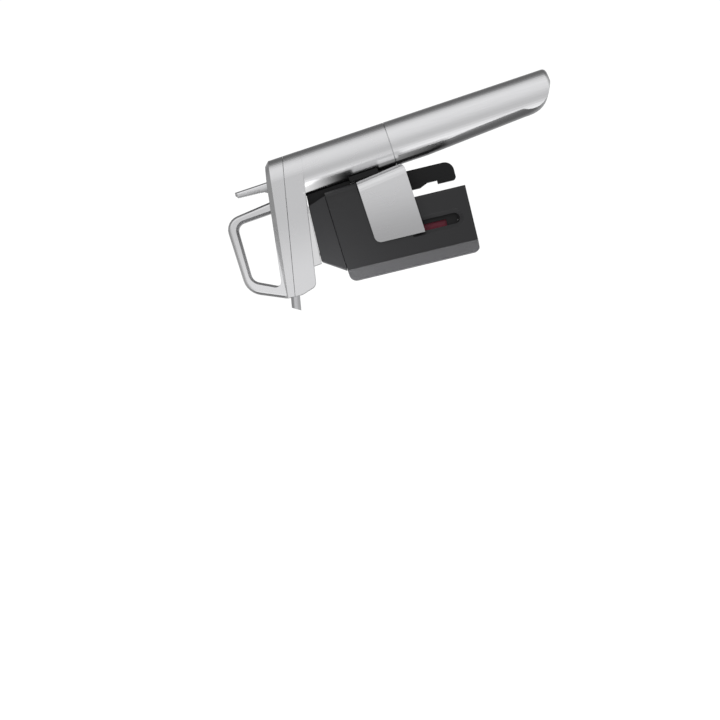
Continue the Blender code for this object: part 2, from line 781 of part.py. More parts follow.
# The bands: bent metal sheet over the shoulders of the saddle
def band(name, side):
    inner = shell_side + FIT_GAP
    outer = inner + BAND_THICKNESS
    top = FIT_GAP + BAND_THICKNESS
    low = -shell_top - 2 * SADDLE_RISE
    sheet = [
        (outer, low, 0),
        (outer, top, SADDLE_ROUND + top),
        (BAND_LIP, top, 0),
        (BAND_LIP, FIT_GAP, 0),
        (inner, FIT_GAP, SADDLE_ROUND + FIT_GAP),
        (inner, low, 0),
    ]
    sheet = [(side * y, z, radius) for y, z, radius in sheet]
    part = add_part(name, section_bar(sheet, 0, BAND_END + OVERRUN), LIGHT_METAL, SADDLE)
    left, right = clamp_face(BAND_FRONT, band_height), clamp_face(BAND_END, band_height)
    outline = [
        (left, band_top(left), 0),
        (clamp_face(BAND_FRONT, BAND_LOW), BAND_LOW, BAND_CORNER),
        (clamp_face(BAND_END, BAND_LOW), BAND_LOW, BAND_THICKNESS / 2),
        (right, band_top(right), BAND_TOP_CORNER),
    ]
    keep(part, "outline", side_plate(outline, outer + OVERRUN))
    return part


band("band_left", 1)
band("band_right", -1)


# The jaws: sprung levers inside the clamp, each with a burgundy rubber pad
def jaw(name, side):
    pin = (JAW_PIN_X, side * jaw_pin_y, 0)
    inner_side = jaw_bore * math.cos(math.asin(JAW_HALF_HEIGHT / jaw_bore)) * JAW_EDGE_SHARE
    y_low, y_high = sorted((side * inner_side, side * jaw_side))
    start = JAW_PIN_X
    half = JAW_HALF_HEIGHT
    mesh = box((start, y_low, -half), (JAW_END, y_high, half))
    mesh.transform(Matrix.Translation(-Vector(pin)))
    part = add_part(name, mesh, BLACK_PLASTIC, None, pin)
    eye = rod(JAW_EYE_RADIUS, (*pin[:2], -half), (*pin[:2], half), 20)
    join(part, "eye", eye)
    cut(part, "bore", rod(jaw_bore, (-OVERRUN, 0, 0), (JAW_END + OVERRUN, 0, 0), 64))
    hole = JAW_PIN_RADIUS + SLIDE_GAP
    cut(part, "pin_hole", rod(hole, (*pin[:2], -half - OVERRUN), (*pin[:2], half + OVERRUN), 16))
    window_high = SLOT_LOW + (SLOT_HIGH - SLOT_LOW) * WINDOW_HIGH_SHARE
    window = [
        (SLOT_START, SLOT_LOW, 0),
        (PAD_END, SLOT_LOW, 0),
        (PAD_END, window_high, 0),
        (SLOT_START, window_high, 0),
    ]
    cut(part, "window", side_plate(window, shell_side))
    return part


def jaw_pad(name, side):
    reach = math.asin(PAD_HALF_HEIGHT / (pad_radius + PAD_THICKNESS))
    steps = [reach * (2 * step / 16 - 1) for step in range(17)]
    outer = pad_radius + PAD_THICKNESS
    outline = [(side * outer * math.cos(a), outer * math.sin(a), 0) for a in steps]
    outline += [(side * pad_radius * math.cos(a), pad_radius * math.sin(a), 0) for a in reversed(steps)]
    mesh = section_bar(outline, PAD_START, PAD_END)
    pin = Vector((JAW_PIN_X, side * jaw_pin_y, 0))
    mesh.transform(Matrix.Translation(-pin))
    return add_part(name, mesh, BURGUNDY_RUBBER, None, pin)


def jaw_fixings(side_name, side):
    y = side * jaw_pin_y
    half = CAVITY_HALF_HEIGHT + JAW_PIN_SEAT - FIT_GAP
    pin = rod(JAW_PIN_RADIUS, (0, 0, -half), (0, 0, half), 16)
    add_part(f"{side_name}_jaw_pin", pin, STEEL, None, (JAW_PIN_X, y, 0))
    radius = JAW_PIN_RADIUS + SLIDE_GAP + JAW_SPRING_WIRE / 2
    low = JAW_HALF_HEIGHT + FIT_GAP + JAW_SPRING_WIRE
    high = low + JAW_SPRING_TURNS * JAW_SPRING_WIRE * 2
    spring = coil(
        f"{side_name}_jaw_spring",
        radius,
        JAW_SPRING_WIRE,
        JAW_SPRING_TURNS,
        low,
        high,
        STEEL,
        leg=JAW_SPRING_WIRE * 3,
    )
    spring.location = (JAW_PIN_X, y, 0)


for side_name, side in (("left", 1), ("right", -1)):
    jaw(f"{side_name}_jaw", side)
    jaw_pad(f"{side_name}_pad", side)
    jaw_fixings(side_name, side)


# The rail: a black moulded arm with a wider flange along its lower edge
def rail():
    notch_start = NOTCH_WALL - NOTCH_LENGTH
    notch_top = rail_bottom + NOTCH_DEPTH
    front_top = web_top(nose_front)
    pad_start, pad_end = BASE_START - CAST_STEP, base_end() + FIT_GAP
    outline = [
        (nose_front, rail_bottom, 0),
        (notch_start - NOTCH_RAMP, rail_bottom, 0),
        (notch_start, notch_top, 0),
        (NOTCH_WALL, notch_top, 0),
        (NOTCH_WALL, rail_bottom, 0),
        (RAIL_END, rail_bottom, RAIL_HEEL),
        (RAIL_END, rail_top, RAIL_ROUND),
        (RAIL_STEP_X, rail_top, 0),
        (RAIL_STEP_X, web_top(RAIL_STEP_X), 0),
        (pad_end, web_top(pad_end), 0),
        (pad_end, under_pad(pad_end), 0),
        (pad_start, under_pad(pad_start), 0),
        (pad_start, web_top(pad_start), 0),
        (lean(back_x, BACK_LEAN, front_top) + FIT_GAP, front_top, 0),
    ]
    part = add_part("rail", side_plate(outline, RAIL_FLANGE / 2), BLACK_PLASTIC)
    cut(part, "tube", rod(handle_radius + FIT_GAP, (-CUP_LENGTH, 0, 0), (CUP_LENGTH, 0, 0), 64), HANDLE)
    reach = RAIL_END + OVERRUN
    for index, way in enumerate((-1, 1)):
        y_low, y_high = sorted((way * RAIL_WEB / 2, way * RAIL_FLANGE))
        trim = box((-reach, y_low, flange_top), (reach, y_high, joint_z))
        cut(part, f"side_{index}", trim)
    for index, x in enumerate(rail_screw_xs()):
        hole = SCREW_RADIUS + SLIDE_GAP
        cut(part, f"hole_{index}", rod(hole, (x, 0, 0), (x, 0, joint_z), 16))
        seat = SCREW_HEAD_RADIUS + SLIDE_GAP
        cut(part, f"seat_{index}", rod(seat, (x, 0, 0), (x, 0, rail_screw_seat()), 20))
    return part


def rail_screw_xs():
    return [BASE_START + share * BASE_LENGTH for share in RAIL_SCREW_SHARES]


def rail_screw_seat():
    return flange_top + SCREW_HEAD


def handle_underside(x):
    """The height of the lowest line of the handle above the neck's axis."""
    return joint_z + (x - JOINT_X) * math.tan(HANDLE_TILT) - handle_radius / math.cos(HANDLE_TILT)


def web_top(x):
    """The rail's web reaches up a little on each side of the handle's lowest line."""
    return handle_underside(x) + RAIL_WRAP


def under_pad(x):
    return handle_underside(x) - BASE_UNDER - 2 * FIT_GAP


def base_end():
    return BASE_START + BASE_LENGTH * math.cos(HANDLE_TILT)


def to_handle(x):
    """The distance along the handle's axis of a point of its underside."""
    return (x - JOINT_X) / math.cos(HANDLE_TILT) - handle_radius * math.tan(HANDLE_TILT)


def rail_base():
    start = to_handle(BASE_START)
    end = start + BASE_LENGTH
    low = -handle_radius - BASE_UNDER
    high = -handle_radius + BASE_WRAP
    half = BASE_WIDTH / 2
    part = add_part("rail_base", box((start, -half, low), (end, half, high)), BLACK_PLASTIC, HANDLE)
    clear = handle_radius + FIT_GAP
    cut(part, "tube", rod(clear, (-CUP_LENGTH, 0, 0), (CUP_LENGTH, 0, 0), 64), HANDLE)
    for index, x in enumerate(rail_screw_xs()):
        hole = SCREW_RADIUS + SLIDE_GAP
        cut(part, f"hole_{index}", rod(hole, (x, 0, 0), (x, 0, joint_z), 16))
    return part


rail()
rail_base()
for index, x in enumerate(rail_screw_xs()):
    tip = handle_underside(x) + RAIL_SCREW_BITE - FIT_GAP
    screw(f"rail_screw_{index + 1}", (x, 0, rail_screw_seat()), (x, 0, tip))


# The latch that stops the raised head: a sprung plunger under the rail
latch_top = rail_bottom - FIT_GAP
latch_low = latch_top - LATCH_HEIGHT
add_part(
    "rail_latch",
    rod(LATCH_RADIUS, (0, 0, -LATCH_HEIGHT), (0, 0, 0), 20),
    STEEL,
    None,
    (LATCH_X, 0, latch_top),
)
latch_spring = coil(
    "latch_spring",
    LATCH_RADIUS - LATCH_SPRING_WIRE,
    LATCH_SPRING_WIRE,
    LATCH_SPRING_TURNS,
    latch_floor + LATCH_SPRING_WIRE,
    latch_low - LATCH_SPRING_WIRE / 2 - FIT_GAP / 2,
    STEEL,
    leg=LATCH_SPRING_WIRE,
)
latch_spring.location.x = LATCH_X


# The nose: a black moulded taper from the clamp to the head
def nose():
    back = shell_front - FIT_GAP
    outline = [
        (nose_front, NOSE_FRONT_HEIGHT, 0),
        (nose_front, -NOSE_DROP, NOSE_CORNER),
        (shell_face(back, -NOSE_BACK_DROP), -NOSE_BACK_DROP, 0),
        (shell_face(back, NOSE_BACK_HEIGHT), NOSE_BACK_HEIGHT, 0),
    ]
    shape = side_shape(outline, NOSE_BACK_HALF_WIDTH)
    narrowing = NOSE_FRONT_HALF_WIDTH / NOSE_BACK_HALF_WIDTH
    for vert in shape.verts:
        share = min(1, (back - vert.co.x) / (back - nose_front))
        vert.co.y *= 1 + (narrowing - 1) * max(0, share)
    part = add_part("nose", finished("nose", shape), BLACK_PLASTIC)
    spigot_start = (nose_front + back) / 2
    spigot_end = -SEAL_THICKNESS - FIT_GAP
    join(part, "spigot", rod(NOSE_SPIGOT_RADIUS, (spigot_start, 0, 0), (spigot_end, 0, 0), 32))
    join(part, "plug", nose_plug(0, NOSE_PLUG_DEPTH))
    web = RAIL_FLANGE / 2 + FIT_GAP
    reach = NOSE_LENGTH + OVERRUN
    cut(part, "rail_channel", box((-reach, -web, channel_floor), (0, web, joint_z)))
    bore = GUIDE_RADIUS + FIT_GAP
    bore_start = nose_front + GUIDE_WALL
    cut(part, "guide_bore", rod(bore, (bore_start, 0, 0), (0, 0, 0), 24))
    hole = NEEDLE_RADIUS * 2
    cut(part, "needle_hole", rod(hole, (-reach, 0, 0), (0, 0, 0), 16))
    return part


nose()
guide_start = nose_front + GUIDE_WALL + FIT_GAP
guide_end = -SEAL_THICKNESS - 2 * FIT_GAP
guide_hole = NEEDLE_RADIUS + SLIDE_GAP
turned(
    "needle_guide",
    [
        (GUIDE_RADIUS, guide_end),
        (GUIDE_RADIUS, guide_start),
        (2 * NEEDLE_RADIUS, guide_start),
        (guide_hole, guide_start + GUIDE_RADIUS),
        (guide_hole, guide_end),
    ],
    BRASS,
    sides=24,
    ring=True,
)
turned(
    "mouth_seal",
    pipe(2 * NEEDLE_RADIUS, SEAL_RADIUS, -SEAL_THICKNESS, 0),
    RUBBER,
    sides=40,
    ring=True,
)


# The head: a cast block with a round top and tapering sides, parted on a leaning seam
def front_tilt():
    return math.tan(FRONT_LEAN + HANDLE_TILT)


def front_on_axis():
    """Where the front face meets the handle's axis, as a distance along the handle."""
    rise = math.tan(HANDLE_TILT)
    slope = math.tan(FRONT_LEAN)
    x = (front_x + slope * (joint_z - rise * JOINT_X)) / (1 - slope * rise)
    return (x - JOINT_X) / math.cos(HANDLE_TILT)


def head_block():
    """The head's outer block in the handle's frame, its front face leaning and chamfered."""
    foot = -(joint_z + COLUMN_DROP + OVERRUN)
    steps = [math.pi * step / 32 for step in range(33)]
    arc = [(handle_radius * math.cos(a), handle_radius * math.sin(a), 0) for a in steps]
    outline = [(COLUMN_FOOT_HALF_WIDTH, foot, 0), *arc, (-COLUMN_FOOT_HALF_WIDTH, foot, 0)]
    front = front_on_axis()
    shape = section_shape(outline, front, 0)
    for vert in shape.verts:
        if vert.co.x < front / 2:
            vert.co.x += vert.co.z * front_tilt()
    middle = front / 2
    rim = [
        edge
        for edge in shape.edges
        if all(vert.co.x < middle for vert in edge.verts)
        and sum(abs(face.normal.x) > math.cos(math.radians(20)) for face in edge.link_faces) == 1
    ]
    bmesh.ops.bevel(shape, geom=rim, offset=FRONT_CHAMFER, segments=1, profile=0.5, affect="EDGES")
    bmesh.ops.recalc_face_normals(shape, faces=shape.faces)
    return finished("head_block", shape)


def loop_corner():
    """The loop's lower front corner, where its outline turns towards the foot."""
    x = lean(front_x, FRONT_LEAN, LOOP_TOP) - LOOP_REACH
    z = LOOP_TOP - LOOP_REACH * math.tan(LOOP_TOP_SLOPE)
    return x + (z + LOOP_DROP) * math.tan(LOOP_SIDE_LEAN), -LOOP_DROP


def foot_start():
    return lean(front_x, FRONT_LEAN, -COLUMN_DROP) + FOOT_START


def column_outline():
    """The column in side view, from above the handle's axis down to its rounded foot."""
    high = joint_z + handle_radius + OVERRUN
    shoulder = joint_z - handle_radius
    corner_x, corner_z = loop_corner()
    heel = -COLUMN_DROP + FOOT_RISE
    return [
        (corner_x, high, 0),
        (corner_x, corner_z, 0),
        (foot_start(), -COLUMN_DROP, FOOT_ROUND),
        (foot_start() + FOOT_FLAT, -COLUMN_DROP, FOOT_ROUND),
        (lean(back_x, BACK_LEAN, heel), heel, FOOT_BACK_ROUND),
        (lean(back_x, BACK_LEAN, shoulder), shoulder, 0),
        (lean(back_x, BACK_LEAN, joint_z), joint_z, 0),
        (lean(back_x, BACK_LEAN, joint_z), high, 0),
    ]


def seam_side(way):
    """All that lies beyond the seam, to the front (way -1) or to the back (way 1)."""
    high = joint_z + 2 * handle_radius
    low = -2 * COLUMN_DROP
    gap = way * SEAM_GAP / 2
    far = way * 2 * CUP_LENGTH
    return [
        (lean(seam_x, SEAM_LEAN, low) + gap, low, 0),
        (lean(seam_x, SEAM_LEAN, high) + gap, high, 0),
        (far, high, 0),
        (far, low, 0),
    ]


def spout_point(z, across=0.0):
    """A point of the spout's axis, which lies in the seam."""
    return (lean(seam_x, SEAM_LEAN, z) + across, 0, z)


trigger_pivot_z = joint_z + (trigger_pivot_x - JOINT_X) * math.tan(HANDLE_TILT) - TRIGGER_PIVOT_DROP
stem_x = trigger_pivot_x - VALVE_ARM
trigger_low = trigger_pivot_z - TRIGGER_EYE
valve_top = trigger_low - STEM_PROUD - SCREW_HEAD
room_low = valve_top + FIT_GAP
room_high = trigger_pivot_z + TRIGGER_EYE + TRIGGER_SWING_ROOM
room_side = TRIGGER_HALF_WIDTH + TRIGGER_SIDE_ROOM
hub_start = plate_face - HUB_LENGTH
pocket_end = hub_start - 2 * HUB_RING_WIRE - FIT_GAP
block_mesh = head_block()


def head_screw_points(z):
    back = lean(back_x, BACK_LEAN, z) - SCREW_HEAD - SCREW_HEAD_RADIUS * math.tan(BACK_LEAN)
    return (back, 0, z), (lean(seam_x, SEAM_LEAN, z) - HEAD_SCREW_DEPTH, 0, z)


def cut_shared_head_rooms(part):
    """The hollows that cross the seam: for the trigger, the spout and the screws."""
    low = (lean(front_x, FRONT_LEAN, room_low) - OVERRUN, -room_side, room_low)
    high = (trigger_pivot_x + TRIGGER_EYE + FIT_GAP, room_side, room_high)
    cut(part, "trigger_room", box(low, high))
    spout_hole = SPOUT_RADIUS + SLIDE_GAP
    top = SPOUT_TOP + FIT_GAP
    cut(part, "spout_hole", rod(spout_hole, spout_point(-2 * COLUMN_DROP), spout_point(top), 24))
    for index, z in enumerate(HEAD_SCREW_ZS):
        under_head, point = head_screw_points(z)
        hole = SCREW_RADIUS + SLIDE_GAP
        end = (point[0] - FIT_GAP, 0, z)
        cut(part, f"screw_hole_{index}", rod(hole, (0, 0, z), end, 16))
        seat = SCREW_HEAD_RADIUS + SLIDE_GAP
        cut(part, f"screw_seat_{index}", rod(seat, (0, 0, z), under_head, 20))


def head_body():
    part = add_part("head_body", block_mesh.copy(), LIGHT_METAL, HANDLE)
    keep(part, "column", side_plate(column_outline(), 2 * handle_radius))
    tube_start = front_on_axis() + handle_radius
    tube = rod(handle_radius - CAST_STEP, (tube_start, 0, 0), (-FIT_GAP / 2, 0, 0), 64)
    join(part, "tube", tube, HANDLE)
    keep(part, "seam", side_plate(seam_side(1), 2 * handle_radius))
    bore_end = regulator_front - FIT_GAP
    cut(part, "bore", rod(tube_bore, (bore_end, 0, 0), (OVERRUN, 0, 0), 48), HANDLE)
    lip_end = -SLEEVE_IN_TUBE - 2 * RING_WIRE - 2 * FIT_GAP
    cut(part, "sleeve_bore", rod(lip_bore, (lip_end, 0, 0), (OVERRUN, 0, 0), 48), HANDLE)
    cut_shared_head_rooms(part)
    pin_half = PIN_HALF_LENGTH + FIT_GAP
    pin_hole = TRIGGER_PIN_RADIUS + SLIDE_GAP
    pin = rod(
        pin_hole,
        (trigger_pivot_x, -pin_half, trigger_pivot_z),
        (trigger_pivot_x, pin_half, trigger_pivot_z),
        16,
    )
    cut(part, "pin_hole", pin)
    hub_bore = HUB_RADIUS + FIT_GAP
    cut(part, "hub_bore", rod(hub_bore, (pocket_end, 0, 0), (0, 0, 0), 24))
    valve_bore = VALVE_RADIUS + FIT_GAP
    valve_low = valve_top - VALVE_LENGTH - FIT_GAP
    valve = rod(valve_bore, (stem_x, 0, valve_low), (stem_x, 0, trigger_pivot_z), 24)
    cut(part, "valve_bore", valve)
    wine_x = (pocket_end + seam_x) / 2
    wine = rod(WINE_BORE, (wine_x, 0, 0), spout_point(SPOUT_TOP, SPOUT_BORE), 12)
    cut(part, "wine_bore", wine)
    for index, x in enumerate(rail_screw_xs()):
        hole = SCREW_RADIUS + SLIDE_GAP
        top = handle_underside(x) + RAIL_SCREW_BITE
        cut(part, f"rail_hole_{index}", rod(hole, (x, 0, 0), (x, 0, top), 16))
    return part


def inset(corners, size, fixed_side=None):
    """The same corners with each side moved in, but not the side that ends at corner fixed_side."""
    moved = []
    for index, (x, z, radius) in enumerate(corners):
        after = (index + 1) % len(corners)
        first = Vector((corners[index - 1][1] - z, x - corners[index - 1][0])).normalized()
        second = Vector((z - corners[after][1], corners[after][0] - x)).normalized()
        turn = first.dot(second)
        to_first = 0 if index == fixed_side else size
        to_second = 0 if after == fixed_side else size
        shift = (to_first - to_second * turn) * first + (to_second - to_first * turn) * second
        shift /= 1 - turn * turn
        moved.append((x + shift.x, z + shift.y, radius - size if radius else 0))
    return moved


def loop_ring(corners, y):
    """The outline at y of the loop's lower half, the loop being narrower at its top."""
    ring = []
    for x, z in rounded(corners):
        share = (z + COLUMN_DROP) / (LOOP_TOP + COLUMN_DROP)
        narrower = share * (LOOP_HALF_WIDTH_HIGH - LOOP_HALF_WIDTH_LOW) / LOOP_HALF_WIDTH_LOW
        ring.append((x, y + y * narrower, z))
    return ring


def loop_shapes():
    """The grip loop with rounded edges, and its hole with chamfered ones."""
    root_x = lean(front_x, FRONT_LEAN, LOOP_TOP)
    far = root_x - LOOP_REACH
    seam_low = lean(seam_x, SEAM_LEAN, -COLUMN_DROP) + LOOP_EDGE_ROUND
    outer = [
        (root_x + FRONT_CHAMFER + LOOP_EDGE_ROUND, LOOP_TOP, 0),
        (root_x, LOOP_TOP, 0),
        (far, LOOP_TOP - LOOP_REACH * math.tan(LOOP_TOP_SLOPE), LOOP_ROUND),
        (*loop_corner(), LOOP_FOOT_ROUND),
        (foot_start(), -COLUMN_DROP, FOOT_ROUND),
        (seam_low, -COLUMN_DROP, 0),
        (seam_low, -LOOP_INNER_DROP, 0),
    ]
    hole_top = LOOP_TOP - LOOP_TOP_BAR
    hole_far = far + LOOP_SIDE_BAR
    hole_side = hole_top - (root_x - hole_far) * math.tan(LOOP_INNER_SLOPE)
    inner = [
        (lean(front_x, FRONT_LEAN, hole_top), hole_top, 0),
        (hole_far, hole_side, LOOP_INNER_ROUND),
        (
            hole_far + (hole_side + LOOP_INNER_DROP) * math.tan(LOOP_INNER_LEAN),
            -LOOP_INNER_DROP,
            LOOP_INNER_FOOT_ROUND,
        ),
        (lean(front_x, FRONT_LEAN, -LOOP_HOLE_DROP), -LOOP_HOLE_DROP, LOOP_HOLE_ROUND),
    ]
    body, hole = [], []
    for step in range(EDGE_STEPS + 1):
        angle = math.radians(90) * step / EDGE_STEPS
        corners = inset(outer, LOOP_EDGE_ROUND * (1 - math.cos(angle)))
        y = LOOP_HALF_WIDTH_LOW - LOOP_EDGE_DEPTH * (1 - math.sin(angle))
        body = [loop_ring(corners, -y)] + body + [loop_ring(corners, y)]
    for share in (0, 2):
        corners = inset(inner, -LOOP_CHAMFER * share, 0)
        y = LOOP_HALF_WIDTH_LOW + LOOP_CHAMFER_DEPTH * (share - 1)
        hole = [loop_ring(corners, -y)] + hole + [loop_ring(corners, y)]
    return loft(body), loft(hole)


def head_front():
    part = add_part("head_front", block_mesh.copy(), LIGHT_METAL, HANDLE)
    keep(part, "column", side_plate(column_outline(), 2 * handle_radius))
    loop, hole = loop_shapes()
    join(part, "loop", loop)
    cut(part, "loop_hole", hole)
    keep(part, "seam", side_plate(seam_side(-1), 2 * handle_radius))
    cut_shared_head_rooms(part)
    return part


def neck_plate():
    """The wedge that fills the space between the leaning column and the nose."""
    tip_z = (PLATE_DEPTH - CAST_STEP - PLATE_LEAST) / math.tan(BACK_LEAN)
    outline = [
        (plate_face, tip_z, 0),
        (lean(back_x, BACK_LEAN, tip_z) + CAST_STEP, tip_z, 0),
        (lean(back_x, BACK_LEAN, -PLATE_LIP_DROP) + CAST_STEP, -PLATE_LIP_DROP, 0),
        (plate_face, -PLATE_DROP, 0),
    ]
    part = add_part("neck_plate", side_plate(outline, PLATE_HALF_WIDTH), LIGHT_METAL)
    hole = HUB_RADIUS + FIT_GAP
    cut(part, "hub_hole", rod(hole, (2 * front_x, 0, 0), (0, 0, 0), 24))
    return part


regulator_end = capsule_front - FIT_GAP - CAPSULE_SEAL + REGULATOR_SEAT
regulator_front = regulator_end - REGULATOR_LENGTH
head_body()
head_front()
neck_plate()
for index, z in enumerate(HEAD_SCREW_ZS):
    screw(f"head_screw_{index + 1}", *head_screw_points(z))


# The spout: a steel tube in the seam, its end cut at a slant
def spout():
    top, tip = Vector(spout_point(SPOUT_TOP)), Vector(spout_point(SPOUT_TIP - SPOUT_RADIUS))
    part = add_part("spout", rod(SPOUT_RADIUS, top, tip, 32), STEEL)
    along = (tip - top).normalized()
    bore = rod(SPOUT_BORE, top - along * OVERRUN, tip + along * OVERRUN, 24)
    cut(part, "bore", bore)
    reach = 2 * SPOUT_RADIUS
    slant = box((-reach, -reach, -reach), (reach, reach, 0))
    slant.transform(Matrix.Translation(spout_point(SPOUT_TIP)) @ Matrix.Rotation(SPOUT_CUT, 4, "Y"))
    cut(part, "slant", slant)
    return part


spout()


# The needle, its threaded hub and the ring that seals it
turned(
    "needle_hub",
    pipe(NEEDLE_RADIUS + SLIDE_GAP, HUB_RADIUS, hub_start, plate_face),
    BRASS,
    sides=24,
    ring=True,
)
needle_start = hub_start + HUB_FLANGE
turned(
    "needle",
    [
        (0, NEEDLE_TIP_X),
        (NEEDLE_RADIUS, NEEDLE_TIP_X - NEEDLE_POINT),
        (NEEDLE_RADIUS, needle_start),
        (0, needle_start),
    ],
    STEEL,
    sides=12,
)
turned(
    "hub_ring",
    ring_profile(HUB_RADIUS - HUB_RING_WIRE, HUB_RING_WIRE, hub_start - HUB_RING_WIRE - FIT_GAP / 2),
    RUBBER,
    sides=24,
    ring=True,
)


# The trigger: a blade on a hinge pin, ribbed underneath, with a toe over the valve stem
def rib_grooves(tip, root, start, end, height):
    """The grooves between the ribs, from the blade's underside up to the given height."""
    grooves = bmesh.new()
    step = TRIGGER_RIB_REACH / TRIGGER_RIBS
    for index in range(TRIGGER_RIBS):
        x = tip[0] + TRIGGER_RIB_START + index * step
        low = tip[1] + (root[1] - tip[1]) * (x - tip[0]) / (root[0] - tip[0])
        size = Vector((step / 2, end - start, height + TRIGGER_TIP))
        middle = Vector((x, (start + end) / 2, low + height - size.z / 2))
        place = Matrix.Translation(middle) @ Matrix.Diagonal((*size, 1))
        bmesh.ops.create_cube(grooves, size=1, matrix=place)
    return finished("grooves", grooves)


def trigger():
    pivot = Vector((trigger_pivot_x, 0, trigger_pivot_z))
    face_x = lean(front_x, FRONT_LEAN, trigger_pivot_z)
    root_top = trigger_pivot_z + TRIGGER_EYE - TRIGGER_RISE
    slope = math.tan(TRIGGER_SLOPE)
    tip_x = face_x - TRIGGER_REACH
    tip_top = root_top - TRIGGER_REACH * slope
    root_low = root_top - TRIGGER_ROOT
    tip_low = tip_top - TRIGGER_TIP
    toe_low = valve_top + STEM_PROUD + FIT_GAP
    inner_low = trigger_low
    toe_half = STEM_RADIUS * TRIGGER_TOE_SHARE
    outline = [
        (tip_x, tip_top, 0),
        (tip_x, tip_low + TRIGGER_TIP_BEVEL, 0),
        (tip_x + TRIGGER_TIP_BEVEL, tip_low, 0),
        (face_x - TRIGGER_FLARE * 2, root_low, 0),
        (face_x, root_low - TRIGGER_FLARE, 0),
        (stem_x - toe_half * 2, (inner_low + toe_low) / 2, 0),
        (stem_x - toe_half, toe_low, 0),
        (stem_x + toe_half, toe_low, 0),
        (stem_x + toe_half, inner_low, 0),
        (trigger_pivot_x + TRIGGER_EYE, trigger_low, TRIGGER_EYE),
        (trigger_pivot_x + TRIGGER_EYE, trigger_pivot_z + TRIGGER_EYE, TRIGGER_EYE),
        (face_x, root_top, 0),
    ]
    corners = [(x - pivot.x, z - pivot.z, r) for x, z, r in outline]
    shape = side_shape(corners, TRIGGER_HALF_WIDTH)
    top_rim = [corners[-1][:2], corners[0][:2], corners[1][:2]]
    round_rim(shape, top_rim, TRIGGER_EDGE_ROUND, TRIGGER_EDGE_DEPTH, EDGE_STEPS)
    part = add_part("trigger", finished("trigger", shape), LIGHT_METAL, None, pivot)
    hole = TRIGGER_PIN_RADIUS + SLIDE_GAP
    far = TRIGGER_HALF_WIDTH + OVERRUN
    cut(part, "pin_hole", rod(hole, (pivot.x, -far, pivot.z), (pivot.x, far, pivot.z), 16))
    side = TRIGGER_HALF_WIDTH - TRIGGER_RIB_DEPTH
    tip, root = (tip_x, tip_low), (face_x, root_low)
    cut(part, "grooves_under", rib_grooves(tip, root, -far, far, TRIGGER_RIB_DEPTH))
    cut(part, "grooves_left", rib_grooves(tip, root, side, far, TRIGGER_RIB_HEIGHT))
    cut(part, "grooves_right", rib_grooves(tip, root, -far, -side, TRIGGER_RIB_HEIGHT))
    return part


trigger()
pin_half = PIN_HALF_LENGTH
add_part(
    "trigger_pin",
    rod(TRIGGER_PIN_RADIUS, (0, -pin_half, 0), (0, pin_half, 0), 16),
    STEEL,
    None,
    (trigger_pivot_x, 0, trigger_pivot_z),
)


# The gas valve under the trigger
def valve():
    low = valve_top - VALVE_LENGTH
    floor = low + VALVE_FLOOR
    stem_hole = STEM_RADIUS + SLIDE_GAP
    turned(
        "valve_body",
        [
            (VALVE_RADIUS, valve_top),
            (VALVE_RADIUS, low),
            (stem_hole, low),
            (stem_hole, floor),
            (VALVE_BORE, floor),
            (VALVE_BORE, valve_top),
        ],
        BRASS,
        start=(stem_x, 0, 0),
        along="Z",
        sides=24,
        ring=True,
    )
    ring_z = valve_top - HUB_RING_WIRE - FIT_GAP
    collar_top = ring_z - 2 * HUB_RING_WIRE - STEM_COLLAR
    collar_low = collar_top - STEM_COLLAR
    stem_low = floor + STEM_COLLAR
    turned(
        "valve_stem",
        [
            (0, valve_top + STEM_PROUD),
            (STEM_RADIUS, valve_top + STEM_PROUD),
            (STEM_RADIUS, collar_top),
            (STEM_COLLAR_RADIUS, collar_top),
            (STEM_COLLAR_RADIUS, collar_low),
            (STEM_RADIUS, collar_low),
            (STEM_RADIUS, stem_low),
            (0, stem_low),
        ],
        STEEL,
        start=(stem_x, 0, 0),
        along="Z",
        sides=16,
    )
    ring_radius = (STEM_RADIUS + VALVE_BORE) / 2
    ring_wire = (VALVE_BORE - STEM_RADIUS) / 2 - SLIDE_GAP
    turned(
        "valve_ring",
        ring_profile(ring_radius, ring_wire, ring_z, 8),
        RUBBER,
        start=(stem_x, 0, 0),
        along="Z",
        sides=20,
        ring=True,
    )
    spring = coil(
        "valve_spring",
        STEM_RADIUS + VALVE_SPRING_WIRE,
        VALVE_SPRING_WIRE,
        VALVE_SPRING_TURNS,
        floor + VALVE_SPRING_WIRE,
        collar_low - VALVE_SPRING_WIRE,
        STEEL,
        leg=VALVE_SPRING_WIRE,
    )
    spring.location.x = stem_x


valve()


